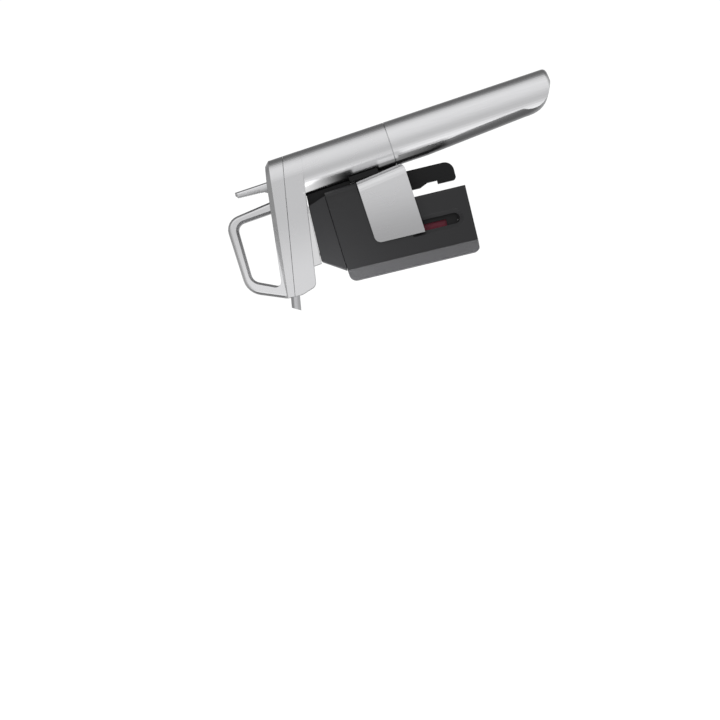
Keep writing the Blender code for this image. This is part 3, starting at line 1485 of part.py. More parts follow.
# The regulator, in the handle tube in front of the capsule
def regulator():
    radius = tube_bore - FIT_GAP
    seat_radius = CAPSULE_NECK_RADIUS + FIT_GAP
    front, end = regulator_front, regulator_end
    seat = end - REGULATOR_SEAT
    chamber_end = front + REGULATOR_CHAMBER
    pin_hole = PIN_RADIUS + SLIDE_GAP
    flange_hole = PIN_FLANGE_RADIUS + SLIDE_GAP
    flange_end = seat - PIN_FLANGE - FIT_GAP
    turned(
        "regulator_body",
        [
            (radius, end),
            (radius, front),
            (REGULATOR_CHAMBER_RADIUS, front),
            (REGULATOR_CHAMBER_RADIUS, chamber_end),
            (pin_hole, chamber_end),
            (pin_hole, flange_end),
            (flange_hole, flange_end),
            (flange_hole, seat),
            (seat_radius, seat),
            (seat_radius, end),
        ],
        BRASS,
        HANDLE,
        sides=40,
        ring=True,
    )
    piston_radius = REGULATOR_CHAMBER_RADIUS - SLIDE_GAP
    cap_end = front + REGULATOR_CAP
    turned(
        "regulator_cap",
        [(0, cap_end), (piston_radius, cap_end), (piston_radius, front), (0, front)],
        STEEL,
        HANDLE,
    )
    stop = chamber_end - FIT_GAP - PISTON_STEM
    face = stop - PISTON_HEAD
    groove_radius = piston_radius - 2 * HUB_RING_WIRE
    groove_half = HUB_RING_WIRE + SLIDE_GAP
    middle = (stop + face) / 2
    turned(
        "regulator_piston",
        [
            (0, stop + PISTON_STEM),
            (PISTON_STEM_RADIUS, stop + PISTON_STEM),
            (PISTON_STEM_RADIUS, stop),
            (piston_radius, stop),
            (piston_radius, middle + groove_half),
            (groove_radius, middle + groove_half),
            (groove_radius, middle - groove_half),
            (piston_radius, middle - groove_half),
            (piston_radius, face),
            (0, face),
        ],
        BRASS,
        HANDLE,
    )
    ring_wire = HUB_RING_WIRE - SLIDE_GAP
    turned(
        "piston_ring",
        ring_profile(groove_radius + HUB_RING_WIRE, ring_wire, middle, 8),
        RUBBER,
        HANDLE,
        ring=True,
    )
    coil(
        "regulator_spring",
        REGULATOR_SPRING_RADIUS,
        REGULATOR_SPRING_WIRE,
        REGULATOR_SPRING_TURNS,
        cap_end + REGULATOR_SPRING_WIRE,
        face - REGULATOR_SPRING_WIRE,
        STEEL,
        HANDLE,
        along="X",
        leg=REGULATOR_SPRING_WIRE,
    )
    pin_start = seat - PIN_FLANGE - FIT_GAP / 2
    pin_end = pin_start + PIN_LENGTH
    turned(
        "piercing_pin",
        [
            (0, pin_end),
            (PIN_RADIUS, pin_end - PIN_RADIUS * 2),
            (PIN_RADIUS, pin_start + PIN_FLANGE),
            (PIN_FLANGE_RADIUS, pin_start + PIN_FLANGE),
            (PIN_FLANGE_RADIUS, pin_start),
            (0, pin_start),
        ],
        STEEL,
        HANDLE,
        sides=16,
    )
    turned(
        "capsule_seal",
        pipe(PIN_RADIUS + SLIDE_GAP, CAPSULE_NECK_RADIUS, seat + FIT_GAP / 2, seat + CAPSULE_SEAL),
        RUBBER,
        HANDLE,
        sides=24,
        ring=True,
    )


regulator()


# The argon capsule: a thin steel bottle, pierced at its neck
def gas_capsule():
    neck_end = capsule_front + CAPSULE_NECK_LENGTH
    shoulder = neck_end + CAPSULE_SHOULDER
    inner = CAPSULE_RADIUS - CAPSULE_WALL
    round_end = CAPSULE_RADIUS / 3
    profile = [
        (0, capsule_end),
        (CAPSULE_RADIUS - round_end, capsule_end),
        (CAPSULE_RADIUS, capsule_end - round_end),
        (CAPSULE_RADIUS, shoulder),
        ((CAPSULE_RADIUS + CAPSULE_NECK_RADIUS) / 2, (shoulder + neck_end) / 2 - CAPSULE_WALL),
        (CAPSULE_NECK_RADIUS, neck_end),
        (CAPSULE_NECK_RADIUS, capsule_front),
        (CAPSULE_MOUTH_RADIUS, capsule_front),
        (CAPSULE_MOUTH_RADIUS, neck_end),
        (inner, shoulder + CAPSULE_WALL),
        (inner, capsule_end - round_end),
        (0, capsule_end - CAPSULE_WALL - round_end / 2),
    ]
    return turned("gas_capsule", profile, STEEL, HANDLE)


gas_capsule()


def scoop():
    """What is taken off under the cup: its roof is an arc that grows flatter towards the end."""
    half = handle_radius + SCOOP_MARGIN
    chin_x = CUP_LENGTH - CHIN_START
    chin_z = -handle_radius + (chin_x - SCOOP_START) * math.tan(SCOOP_SLOPE)
    first = Vector((SCOOP_START, -handle_radius - SCOOP_MARGIN / 6))
    chin = Vector((chin_x, chin_z))
    (before_x, before_z), (after_x, after_z) = CHIN_HANDLES
    handles = [
        Vector((CUP_LENGTH - before_x, chin_z - before_z)),
        Vector((CUP_LENGTH - after_x, chin_z + after_z)),
        Vector((CUP_LENGTH + SCOOP_MARGIN, chin_z + CHIN_RISE)),
    ]
    line = [first.lerp(chin, step / SCOOP_STATIONS) for step in range(SCOOP_STATIONS)]
    for step in range(SCOOP_STATIONS + 1):
        share = step / SCOOP_STATIONS
        line.append(
            chin * (1 - share) ** 3
            + handles[0] * 3 * share * (1 - share) ** 2
            + handles[1] * 3 * share**2 * (1 - share)
            + handles[2] * share**3
        )
    rings = []
    for x, z in line:
        fade = min(1, (CUP_LENGTH + SCOOP_MARGIN - x) / CHIN_START)
        curve = max(0, fade) / (SCOOP_ROUND + (x - SCOOP_START) * SCOOP_FLARE)
        ring = [(x, half, -2 * CUP_LENGTH), (x, -half, -2 * CUP_LENGTH)]
        for step in range(25):
            y = half * (step / 12 - 1)
            ring.append((x, y, z + curve * y**2 / (1 + math.sqrt(1 - (curve * y) ** 2))))
        rings.append(ring)
    return loft(rings)


# The cup over the capsule: the rear half of the handle, scooped underneath
def capsule_cup():
    start = FIT_GAP / 2
    edge = handle_radius - CUP_END_ROUND
    corner = [
        (
            edge + CUP_END_ROUND * math.cos(math.pi / 2 * (1 - step / ARC_STEPS)),
            CUP_LENGTH - CUP_END_ROUND + CUP_END_ROUND * math.sin(math.pi / 2 * (1 - step / ARC_STEPS)),
        )
        for step in range(ARC_STEPS + 1)
    ]
    profile = [(0, CUP_LENGTH), *corner, (handle_radius, start), (0, start)]
    part = turned("capsule_cup", profile, LIGHT_METAL, HANDLE, sides=64)
    cut(part, "scoop", scoop(), HANDLE)
    bore_end = capsule_end + PAD_LENGTH + 2 * FIT_GAP
    cut(part, "bore", rod(capsule_bore, (-OVERRUN, 0, 0), (bore_end, 0, 0), 48), HANDLE)
    sleeve_end = SLEEVE_IN_CUP + FIT_GAP
    cut(part, "sleeve_bore", rod(lip_bore, (-OVERRUN, 0, 0), (sleeve_end, 0, 0), 48), HANDLE)
    hollow = handle_radius - CUP_HOLLOW_WALL
    cut(part, "hollow", rod(hollow, (0, 0, 0), (CUP_HOLLOW_END, 0, 0), 32), HANDLE)
    return part


capsule_cup()
turned(
    "cup_sleeve",
    pipe(capsule_bore, sleeve_radius, -SLEEVE_IN_TUBE, SLEEVE_IN_CUP),
    BRASS,
    HANDLE,
    sides=48,
    ring=True,
)
turned(
    "cup_ring",
    ring_profile(sleeve_radius - RING_WIRE, RING_WIRE, -SLEEVE_IN_TUBE - RING_WIRE - FIT_GAP, 8),
    RUBBER,
    HANDLE,
    sides=40,
    ring=True,
)
turned(
    "capsule_pad",
    [
        (0, capsule_end + FIT_GAP + PAD_LENGTH),
        (CAPSULE_RADIUS, capsule_end + FIT_GAP + PAD_LENGTH),
        (CAPSULE_RADIUS, capsule_end + FIT_GAP),
        (0, capsule_end + FIT_GAP),
    ],
    RUBBER,
    HANDLE,
)
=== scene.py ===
"""The looks of a wine preservation dispenser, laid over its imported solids."""

import json
import math

import bpy
from mathutils import Matrix, Vector

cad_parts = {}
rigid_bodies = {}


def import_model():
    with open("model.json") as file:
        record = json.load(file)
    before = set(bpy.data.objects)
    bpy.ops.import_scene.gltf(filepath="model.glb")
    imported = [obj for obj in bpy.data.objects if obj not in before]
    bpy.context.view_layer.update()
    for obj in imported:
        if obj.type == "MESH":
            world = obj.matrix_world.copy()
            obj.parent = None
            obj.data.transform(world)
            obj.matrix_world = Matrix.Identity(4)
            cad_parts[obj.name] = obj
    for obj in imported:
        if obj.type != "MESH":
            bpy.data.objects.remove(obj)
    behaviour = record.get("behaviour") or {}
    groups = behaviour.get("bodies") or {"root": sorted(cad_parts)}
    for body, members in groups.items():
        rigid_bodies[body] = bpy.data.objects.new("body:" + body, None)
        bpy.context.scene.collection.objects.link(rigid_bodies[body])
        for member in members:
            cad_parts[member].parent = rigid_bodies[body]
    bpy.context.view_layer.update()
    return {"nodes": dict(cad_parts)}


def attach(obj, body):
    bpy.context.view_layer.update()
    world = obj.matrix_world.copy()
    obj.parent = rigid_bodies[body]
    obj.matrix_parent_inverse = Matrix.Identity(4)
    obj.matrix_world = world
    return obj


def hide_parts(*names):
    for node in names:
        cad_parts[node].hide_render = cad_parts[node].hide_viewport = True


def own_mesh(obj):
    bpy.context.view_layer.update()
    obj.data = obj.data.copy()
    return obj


for left_over in list(bpy.data.objects):
    bpy.data.objects.remove(left_over, do_unlink=True)
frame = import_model()
solids = frame["nodes"]


# The camera: a long lens square to the near side, rolled so that the object climbs to the right
# as it does in the photograph. One millimetre of it is 1.55 pixels of a 720 pixel frame.
image_right = Vector((0.9724, 0, -0.2334))
image_up = Vector((0.2334, 0, 0.9724))
lens_distance = 2.4
lens_place = Vector((-0.01403, -lens_distance, -0.07227))
frame_pixels = 720
pixels_per_metre = 1550
view_width = frame_pixels / pixels_per_metre
film_width = 36
lens = bpy.data.cameras.new("camera")
lens.sensor_width = film_width
lens.lens = film_width * lens_distance / view_width
camera = bpy.data.objects.new("camera", lens)
camera.matrix_world = Matrix(
    (
        (image_right.x, image_up.x, 0, lens_place.x),
        (image_right.y, image_up.y, -1, lens_place.y),
        (image_right.z, image_up.z, 0, lens_place.z),
        (0, 0, 0, 1),
    )
)
bpy.context.scene.collection.objects.link(camera)
bpy.context.scene.camera = camera
bpy.context.scene.view_settings.view_transform = "Standard"


# The floor: a white sheet well below the object, level with the photograph's horizon. It glows
# enough to melt into the background, so that only a faint shadow shows.
floor_drop = 0.286
floor_reach = 8.0
horizon_tilt = math.radians(13.5)
paper_tone = 0.30
paper_roughness = 0.9
paper_glow = 0.93
floor_mesh = bpy.data.meshes.new("floor")
corners = [(x * floor_reach, y * floor_reach, 0) for x, y in ((-1, -1), (1, -1), (1, 1), (-1, 1))]
floor_mesh.from_pydata(corners, [], [(0, 1, 2, 3)])
floor = bpy.data.objects.new("floor", floor_mesh)
level = Matrix.Rotation(horizon_tilt, 4, "Y")
floor.matrix_world = Matrix.Translation(image_up * -floor_drop) @ level
bpy.context.scene.collection.objects.link(floor)
floor.visible_glossy = False
floor.visible_diffuse = False
paper = bpy.data.materials.new("white_paper")
paper.use_nodes = True
paper_shader = paper.node_tree.nodes["Principled BSDF"]
paper_shader.inputs["Base Color"].default_value = (paper_tone, paper_tone, paper_tone, 1)
paper_shader.inputs["Roughness"].default_value = paper_roughness
paper_shader.inputs["Emission Color"].default_value = (1, 1, 1, 1)
paper_shader.inputs["Emission Strength"].default_value = paper_glow
floor_mesh.materials.append(paper)


# The studio: soft panels wrapped round the object's long axis. White ones stand overhead and low
# in front, with a greyer gap at eye level, and black cloth closes the far side above and below.
side_start, side_full = 0.45, 0.92
blue_share = 1.01
background_glow = 1.05


def studio_panels(stops, left_tone, right_tone):
    """Lights the object by tones at angles round its long axis, and by one tone at each end."""
    world = bpy.data.worlds.new("studio")
    bpy.context.scene.world = world
    world.use_nodes = True
    nodes, links = world.node_tree.nodes, world.node_tree.links
    nodes.clear()
    direction = nodes.new("ShaderNodeTexCoord")
    parts = nodes.new("ShaderNodeSeparateXYZ")
    links.new(direction.outputs["Generated"], parts.inputs[0])
    toward = nodes.new("ShaderNodeMath")
    toward.operation = "MULTIPLY"
    toward.inputs[1].default_value = -1
    links.new(parts.outputs["Y"], toward.inputs[0])
    angle = nodes.new("ShaderNodeMath")
    angle.operation = "ARCTAN2"
    links.new(parts.outputs["Z"], angle.inputs[0])
    links.new(toward.outputs[0], angle.inputs[1])
    share = nodes.new("ShaderNodeMapRange")
    share.inputs["From Min"].default_value = -math.pi
    share.inputs["From Max"].default_value = math.pi
    links.new(angle.outputs[0], share.inputs["Value"])
    ring = nodes.new("ShaderNodeValToRGB")
    links.new(share.outputs[0], ring.inputs[0])
    ramp = ring.color_ramp
    ramp.elements.remove(ramp.elements[-1])
    for degrees, tone in stops:
        place = (degrees + 180) / 360
        stop = ramp.elements.new(place) if degrees > -180 else ramp.elements[0]
        stop.position = place
        stop.color = (tone, tone, tone * blue_share, 1)
    sideways = nodes.new("ShaderNodeMath")
    sideways.operation = "ABSOLUTE"
    links.new(parts.outputs["X"], sideways.inputs[0])
    to_side = nodes.new("ShaderNodeMapRange")
    to_side.interpolation_type = "SMOOTHSTEP"
    to_side.inputs["From Min"].default_value = side_start
    to_side.inputs["From Max"].default_value = side_full
    links.new(sideways.outputs[0], to_side.inputs["Value"])
    end_tone = nodes.new("ShaderNodeMapRange")
    end_tone.inputs["From Min"].default_value = -0.5
    end_tone.inputs["From Max"].default_value = 0.5
    end_tone.inputs["To Min"].default_value = left_tone
    end_tone.inputs["To Max"].default_value = right_tone
    links.new(parts.outputs["X"], end_tone.inputs["Value"])
    around = nodes.new("ShaderNodeMix")
    around.data_type = "RGBA"
    links.new(end_tone.outputs[0], around.inputs["B"])
    links.new(to_side.outputs[0], around.inputs["Factor"])
    links.new(ring.outputs[0], around.inputs["A"])
    panels = nodes.new("ShaderNodeBackground")
    links.new(around.outputs["Result"], panels.inputs["Color"])
    white = nodes.new("ShaderNodeBackground")
    white.inputs["Color"].default_value = (1, 1, 1, 1)
    white.inputs["Strength"].default_value = background_glow
    ray = nodes.new("ShaderNodeLightPath")
    either = nodes.new("ShaderNodeMixShader")
    links.new(ray.outputs["Is Camera Ray"], either.inputs[0])
    links.new(panels.outputs[0], either.inputs[1])
    links.new(white.outputs[0], either.inputs[2])
    out = nodes.new("ShaderNodeOutputWorld")
    links.new(either.outputs[0], out.inputs["Surface"])


def soft_box(name, place, target, size, watts, mirrored=False):
    """A lamp, mostly for matt surfaces: polished metal mirrors it only where that is asked."""
    light = bpy.data.lights.new(name, "AREA")
    light.shape = "RECTANGLE"
    light.size, light.size_y = size
    light.energy = watts
    lamp = bpy.data.objects.new(name, light)
    lamp.location = place
    lamp.rotation_euler = (Vector(target) - Vector(place)).to_track_quat("-Z", "Y").to_euler()
    bpy.context.scene.collection.objects.link(lamp)
    lamp.visible_glossy = mirrored
    lamp.visible_camera = False
    return light


def fade_out(light):
    """Lets a lamp's glow grow from nothing at one end to full at the other."""
    light.use_nodes = True
    nodes, links = light.node_tree.nodes, light.node_tree.links
    surface = nodes.new("ShaderNodeNewGeometry")
    place = nodes.new("ShaderNodeSeparateXYZ")
    links.new(surface.outputs["Parametric"], place.inputs[0])
    share = nodes.new("ShaderNodeMapRange")
    share.interpolation_type = "SMOOTHSTEP"
    links.new(place.outputs["X"], share.inputs["Value"])
    links.new(share.outputs[0], nodes["Emission"].inputs["Strength"])


panel_tones = (
    (-180, 0.50), (-152, 0.30), (-138, 0.12), (-104, 0.14), (-88, 0.35), (-74, 1.10), (-54, 1.15),
    (-38, 0.80), (-22, 0.62), (-8, 0.66), (4, 0.74), (20, 0.86), (60, 0.95), (84, 0.75),
    (100, 0.22), (115, 0.15), (138, 0.13), (152, 0.30), (180, 0.50),
)
studio_panels(panel_tones, left_tone=0.34, right_tone=0.52)
soft_box("key_panel", place=(-0.3, -1.0, 1.1), target=(0, 0, 0), size=(1.2, 0.8), watts=4)
soft_box("low_panel", place=(0.03, 0.0, -0.24), target=(0.03, 0, 0), size=(0.5, 0.06), watts=5)
soft_box(
    "nose_panel",
    place=(-0.05, -0.05, -0.05),
    target=(-0.012, -0.019, -0.005),
    size=(0.03, 0.03),
    watts=0.12,
)
# Two strips below the tube shine straight up, in place of the bright paper that it mirrors.
for name, place, size, watts in (
    ("gap_strip", (-0.0095, -0.0115, 0.0400), (0.030, 0.0100), 0.0009),
    ("cup_strip", (0.0545, -0.0110, 0.0440), (0.055, 0.0080), 0.00036),
):
    overhead = (place[0], place[1], 1.0)
    fade_out(soft_box(name, place, overhead, size, watts, mirrored=True))


# The head's main casting: a leaning column that runs into the first half of the handle tube. It is
# die-cast aluminium, polished and then blasted to a satin, so its shine drifts a little from place
# to place. Its colour is painted a little lighter towards its foot, a painted highlight for the
# light that comes back from below.
noise_detail = 2.0
noise_low, noise_high = 0.3, 0.7
cloud_scale = 40.0
relief_distance = 0.0001
grain_dark = 0.97
flat_match, edge_match = 0.97, 0.85
bevel_samples = 4


def finish(
    name, color, rough, metal, grain_scale, grain_depth, shine_drift,
    edge_radius, painted_edge_tone, gloss=0.5,
):
    """A finish with directional grain, a drifting shine, and painted light on its rounded edges."""
    material = bpy.data.materials.new(name)
    material.use_nodes = True
    nodes, links = material.node_tree.nodes, material.node_tree.links
    shader = nodes["Principled BSDF"]
    shader.inputs["Metallic"].default_value = metal
    shader.inputs["Specular IOR Level"].default_value = gloss
    place = nodes.new("ShaderNodeTexCoord")
    stretch = nodes.new("ShaderNodeMapping")
    stretch.inputs["Scale"].default_value = grain_scale
    links.new(place.outputs["Object"], stretch.inputs["Vector"])
    grain = nodes.new("ShaderNodeTexNoise")
    grain.inputs["Scale"].default_value = 1.0
    grain.inputs["Detail"].default_value = noise_detail
    links.new(stretch.outputs[0], grain.inputs["Vector"])
    cloud = nodes.new("ShaderNodeTexNoise")
    cloud.inputs["Scale"].default_value = cloud_scale
    cloud.inputs["Detail"].default_value = noise_detail
    links.new(place.outputs["Object"], cloud.inputs["Vector"])
    shine = nodes.new("ShaderNodeMapRange")
    shine.inputs["From Min"].default_value = noise_low
    shine.inputs["From Max"].default_value = noise_high
    shine.inputs["To Min"].default_value = rough - shine_drift
    shine.inputs["To Max"].default_value = rough + shine_drift
    links.new(cloud.outputs[0], shine.inputs["Value"])
    links.new(shine.outputs[0], shader.inputs["Roughness"])
    relief = nodes.new("ShaderNodeBump")
    relief.inputs["Strength"].default_value = grain_depth
    relief.inputs["Distance"].default_value = relief_distance
    links.new(grain.outputs[0], relief.inputs["Height"])
    links.new(relief.outputs[0], shader.inputs["Normal"])
    tone = nodes.new("ShaderNodeValToRGB")
    tone.color_ramp.elements[0].position = noise_low
    tone.color_ramp.elements[1].position = noise_high
    tone.color_ramp.elements[0].color = (*(part * grain_dark for part in color), 1)
    tone.color_ramp.elements[1].color = (*color, 1)
    links.new(grain.outputs[0], tone.inputs[0])
    rounded = nodes.new("ShaderNodeBevel")
    rounded.samples = bevel_samples
    rounded.inputs["Radius"].default_value = edge_radius
    links.new(rounded.outputs[0], relief.inputs["Normal"])
    surface = nodes.new("ShaderNodeNewGeometry")
    turned = nodes.new("ShaderNodeVectorMath")
    turned.operation = "DOT_PRODUCT"
    links.new(surface.outputs["Normal"], turned.inputs[0])
    links.new(rounded.outputs[0], turned.inputs[1])
    # Painted light: the colour at the rounded edges is scaled by the edge tone, darker for a
    # painted dark outline, lighter for a painted edge highlight.
    at_edge = nodes.new("ShaderNodeMapRange")
    at_edge.inputs["From Min"].default_value = flat_match
    at_edge.inputs["From Max"].default_value = edge_match
    links.new(turned.outputs["Value"], at_edge.inputs["Value"])
    painted_edge_light = nodes.new("ShaderNodeMix")
    painted_edge_light.data_type = "RGBA"
    painted_edge_light.inputs["B"].default_value = (*(part * painted_edge_tone for part in color), 1)
    links.new(at_edge.outputs[0], painted_edge_light.inputs["Factor"])
    links.new(tone.outputs[0], painted_edge_light.inputs["A"])
    links.new(painted_edge_light.outputs["Result"], shader.inputs["Base Color"])
    return material


def along(material, direction, start, end, before, after):
    """A number that changes from one value to another between two distances along a direction."""
    nodes, links = material.node_tree.nodes, material.node_tree.links
    place = nodes.new("ShaderNodeTexCoord")
    distance = nodes.new("ShaderNodeVectorMath")
    distance.operation = "DOT_PRODUCT"
    distance.inputs[1].default_value = direction
    links.new(place.outputs["Object"], distance.inputs[0])
    share = nodes.new("ShaderNodeMapRange")
    share.interpolation_type = "SMOOTHSTEP"
    share.inputs["From Min"].default_value = start
    share.inputs["From Max"].default_value = end
    share.inputs["To Min"].default_value = before
    share.inputs["To Max"].default_value = after
    links.new(distance.outputs["Value"], share.inputs["Value"])
    return share.outputs[0]


def paint_shade_along(material, direction, start, end, before, after):
    """Paints light or shade into the colour, from one end of a piece to the other."""
    nodes, links = material.node_tree.nodes, material.node_tree.links
    painted_shade = nodes.new("ShaderNodeVectorMath")
    painted_shade.operation = "SCALE"
    base = nodes["Principled BSDF"].inputs["Base Color"]
    links.new(base.links[0].from_socket, painted_shade.inputs[0])
    links.new(along(material, direction, start, end, before, after), painted_shade.inputs["Scale"])
    links.new(painted_shade.outputs[0], base)


def dress(material, *names):
    """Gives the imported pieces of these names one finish."""
    for name in names:
        slots = solids[name].data.materials
        slots.clear()
        slots.append(material)


casting = finish(
    "casting", color=(0.80, 0.80, 0.805), rough=0.27, metal=1.0,
    grain_scale=(2200, 2200, 2200), grain_depth=0.03, shine_drift=0.02,
    edge_radius=0.0005, painted_edge_tone=0.95,
)
upward = (0, 0, 1)
paint_shade_along(casting, upward, start=-0.012, end=0.030, before=1.20, after=0.96)
dress(casting, "head_body")


# The head's front casting, with the closed grip loop. It meets the main casting at a hairline seam
# and is made and finished in the same way, with slightly tighter edges, and painted a little
# lighter towards the foot too, a painted highlight for the light from below.
front_casting = finish(
    "front_casting", color=(0.80, 0.80, 0.805), rough=0.27, metal=1.0,
    grain_scale=(2200, 2200, 2200), grain_depth=0.03, shine_drift=0.02,
    edge_radius=0.0004, painted_edge_tone=0.95,
)
paint_shade_along(front_casting, upward, start=-0.012, end=0.030, before=1.20, after=0.96)
dress(front_casting, "head_front")


# The bright wedge between the leaning column and the upright nose. It is a machined aluminium
# plate, lapped flat on both faces, and the two head screws hold it.
plate_metal = finish(
    "plate_metal", color=(0.95, 0.95, 0.95), rough=0.24, metal=1.0,
    grain_scale=(1800, 1800, 1800), grain_depth=0.03, shine_drift=0.02,
    edge_radius=0.0003, painted_edge_tone=1.0,
)
dress(plate_metal, "neck_plate")


# The head's two screws: zinc-plated steel, driven from the clamp's side through the plate. Their
# heads sit in the nose's rooms and have the slightly yellow, uneven shine of plating.
screw_plating = finish(
    "screw_plating", color=(0.66, 0.65, 0.60), rough=0.30, metal=1.0,
    grain_scale=(1200, 1200, 1200), grain_depth=0.08, shine_drift=0.05,
    edge_radius=0.0002, painted_edge_tone=1.1,
)
dress(screw_plating, "head_screw_1", "head_screw_2")


# The spout: a short stainless tube in the seam of the head, drawn, cut at a slant and polished.
# Fine lines run along it from the drawing.
drawn_tube = finish(
    "drawn_tube", color=(0.70, 0.70, 0.71), rough=0.20, metal=1.0,
    grain_scale=(1600, 1600, 120), grain_depth=0.06, shine_drift=0.03,
    edge_radius=0.0002, painted_edge_tone=1.05,
)
dress(drawn_tube, "spout")


# The needle: hardened stainless tube, ground to a bright point. It is crimped in its hub, which
# screws into the head.
ground_needle = finish(
    "ground_needle", color=(0.74, 0.74, 0.75), rough=0.16, metal=1.0,
    grain_scale=(90, 2400, 2400), grain_depth=0.05, shine_drift=0.03,
    edge_radius=0.0001, painted_edge_tone=1.0,
)
dress(ground_needle, "needle")


# The needle's hub: a turned brass nipple with a thread, and the lathe's fine rings on its flange.
hub_brass = finish(
    "hub_brass", color=(0.74, 0.56, 0.26), rough=0.24, metal=1.0,
    grain_scale=(2400, 300, 300), grain_depth=0.08, shine_drift=0.03,
    edge_radius=0.0002, painted_edge_tone=1.1,
)
dress(hub_brass, "needle_hub")


# The rings that seal the hub, the valve stem, the piston and the cup, and the washer under the
# capsule's neck. They are moulded nitrile rubber, greased, so a shade shinier than the dry seals.
greased_rubber = finish(
    "greased_rubber", color=(0.016, 0.016, 0.016), rough=0.52, metal=0.0,
    grain_scale=(1800, 1800, 1800), grain_depth=0.08, shine_drift=0.08,
    edge_radius=0.0002, painted_edge_tone=1.3,
)
dress(greased_rubber, "hub_ring", "valve_ring", "piston_ring", "capsule_seal", "cup_ring")


# The gas valve below the trigger: a turned brass body pressed in the head.
valve_brass = finish(
    "valve_brass", color=(0.72, 0.54, 0.25), rough=0.28, metal=1.0,
    grain_scale=(300, 300, 2400), grain_depth=0.08, shine_drift=0.03,
    edge_radius=0.0002, painted_edge_tone=1.1,
)
dress(valve_brass, "valve_body")


# The valve's stem, which the trigger presses, and the coil spring that lifts it again. The stem is
# ground stainless steel, and the spring is drawn spring wire.
spring_wire = finish(
    "spring_wire", color=(0.60, 0.61, 0.63), rough=0.22, metal=1.0,
    grain_scale=(1500, 1500, 1500), grain_depth=0.06, shine_drift=0.04,
    edge_radius=0.0001, painted_edge_tone=1.1,
)
dress(spring_wire, "valve_stem", "valve_spring")


def squeezed_spring(name, body):
    """Shows a packed spring by a copy of its mesh, fixed to the body, and hides the packed one."""
    packed = solids[name]
    wire = bpy.data.objects.new(name + "_coil", packed.data.copy())
    bpy.context.scene.collection.objects.link(wire)
    wire.matrix_world = packed.matrix_world
    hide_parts(name)
    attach(wire, body)
    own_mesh(wire)


squeezed_spring("valve_spring", "head")


# The trigger: a cast aluminium blade, satin like the head, with fine ribs under its tip for the
# finger. Its underside is painted darker, a painted shade for the loop's shadow. It turns on a pin
# across the column.
blade_metal = finish(
    "blade_metal", color=(0.84, 0.84, 0.845), rough=0.26, metal=1.0,
    grain_scale=(2200, 2200, 2200), grain_depth=0.03, shine_drift=0.02,
    edge_radius=0.0003, painted_edge_tone=0.95,
)
across_blade = (-0.0889, 0, 0.996)
paint_shade_along(blade_metal, across_blade, start=0.0510, end=0.0550, before=0.45, after=1.0)
dress(blade_metal, "trigger")


# The trigger's pin: hard ground steel, pressed across the column's two cheeks.
ground_pin = finish(
    "ground_pin", color=(0.64, 0.65, 0.66), rough=0.18, metal=1.0,
    grain_scale=(1500, 60, 1500), grain_depth=0.05, shine_drift=0.03,
    edge_radius=0.0001, painted_edge_tone=1.1,
)
dress(ground_pin, "trigger_pin")


# The regulator behind the capsule's neck: a turned brass body with a brass piston in it, which
# shuts the gas when the pressure is right.
regulator_brass = finish(
    "regulator_brass", color=(0.74, 0.56, 0.26), rough=0.25, metal=1.0,
    grain_scale=(2400, 300, 300), grain_depth=0.08, shine_drift=0.03,
    edge_radius=0.0002, painted_edge_tone=1.1,
)
dress(regulator_brass, "regulator_body", "regulator_piston")


# The regulator's screwed steel cap, the piston's spring, and the hollow pin that pierces the
# capsule. All are bright steel, the cap with turning marks round its face.
bright_steel = finish(
    "bright_steel", color=(0.66, 0.67, 0.68), rough=0.20, metal=1.0,
    grain_scale=(1500, 400, 400), grain_depth=0.06, shine_drift=0.03,
    edge_radius=0.0002, painted_edge_tone=1.1,
)
dress(bright_steel, "regulator_cap", "regulator_spring", "piercing_pin")


# The capsule cup, the second half of the handle: deep-drawn aluminium, scooped below and polished
# lengthwise, so it has faint long lines. It screws on behind a fine seam.
satin_metal = finish(
    "satin_metal", color=(0.80, 0.80, 0.805), rough=0.26, metal=1.0,
    grain_scale=(60, 1400, 1400), grain_depth=0.03, shine_drift=0.02,
    edge_radius=0.0005, painted_edge_tone=0.95,
)
dress(satin_metal, "capsule_cup")


# The cup's threaded sleeve, a turned steel ring that is pressed in the cup's mouth.
sleeve_steel = finish(
    "sleeve_steel", color=(0.62, 0.63, 0.64), rough=0.26, metal=1.0,
    grain_scale=(2000, 300, 300), grain_depth=0.08, shine_drift=0.03,
    edge_radius=0.0002, painted_edge_tone=1.1,
)
dress(sleeve_steel, "cup_sleeve")


# The gas capsule: zinc-plated drawn steel with a cloudy, faintly warm plating. It lies loose in the
# cup, its neck towards the piercing pin.
capsule_zinc = finish(
    "capsule_zinc", color=(0.68, 0.67, 0.63), rough=0.30, metal=1.0,
    grain_scale=(300, 300, 300), grain_depth=0.05, shine_drift=0.06,
    edge_radius=0.0003, painted_edge_tone=1.05,
)
dress(capsule_zinc, "gas_capsule")


# The foam rubber pad at the bottom of the cup, which pushes the capsule towards the pin.
pad_rubber = finish(
    "pad_rubber", color=(0.022, 0.022, 0.022), rough=0.85, metal=0.0,
    grain_scale=(1400, 1400, 1400), grain_depth=0.20, shine_drift=0.05,
    edge_radius=0.0004, painted_edge_tone=1.3,
)
dress(pad_rubber, "capsule_pad")


# The rail that the head slides down on, with its notch and hook, and the pad under the tube that
# carries it. Both are moulded glass-filled nylon, very dark, with a fine dull grain.
rail_plastic = finish(
    "rail_plastic", color=(0.009, 0.009, 0.0095), rough=0.42, metal=0.0,
    grain_scale=(2200, 2200, 2200), grain_depth=0.12, shine_drift=0.04,
    edge_radius=0.0005, painted_edge_tone=1.3, gloss=0.22,
)
dress(rail_plastic, "rail", "rail_base")


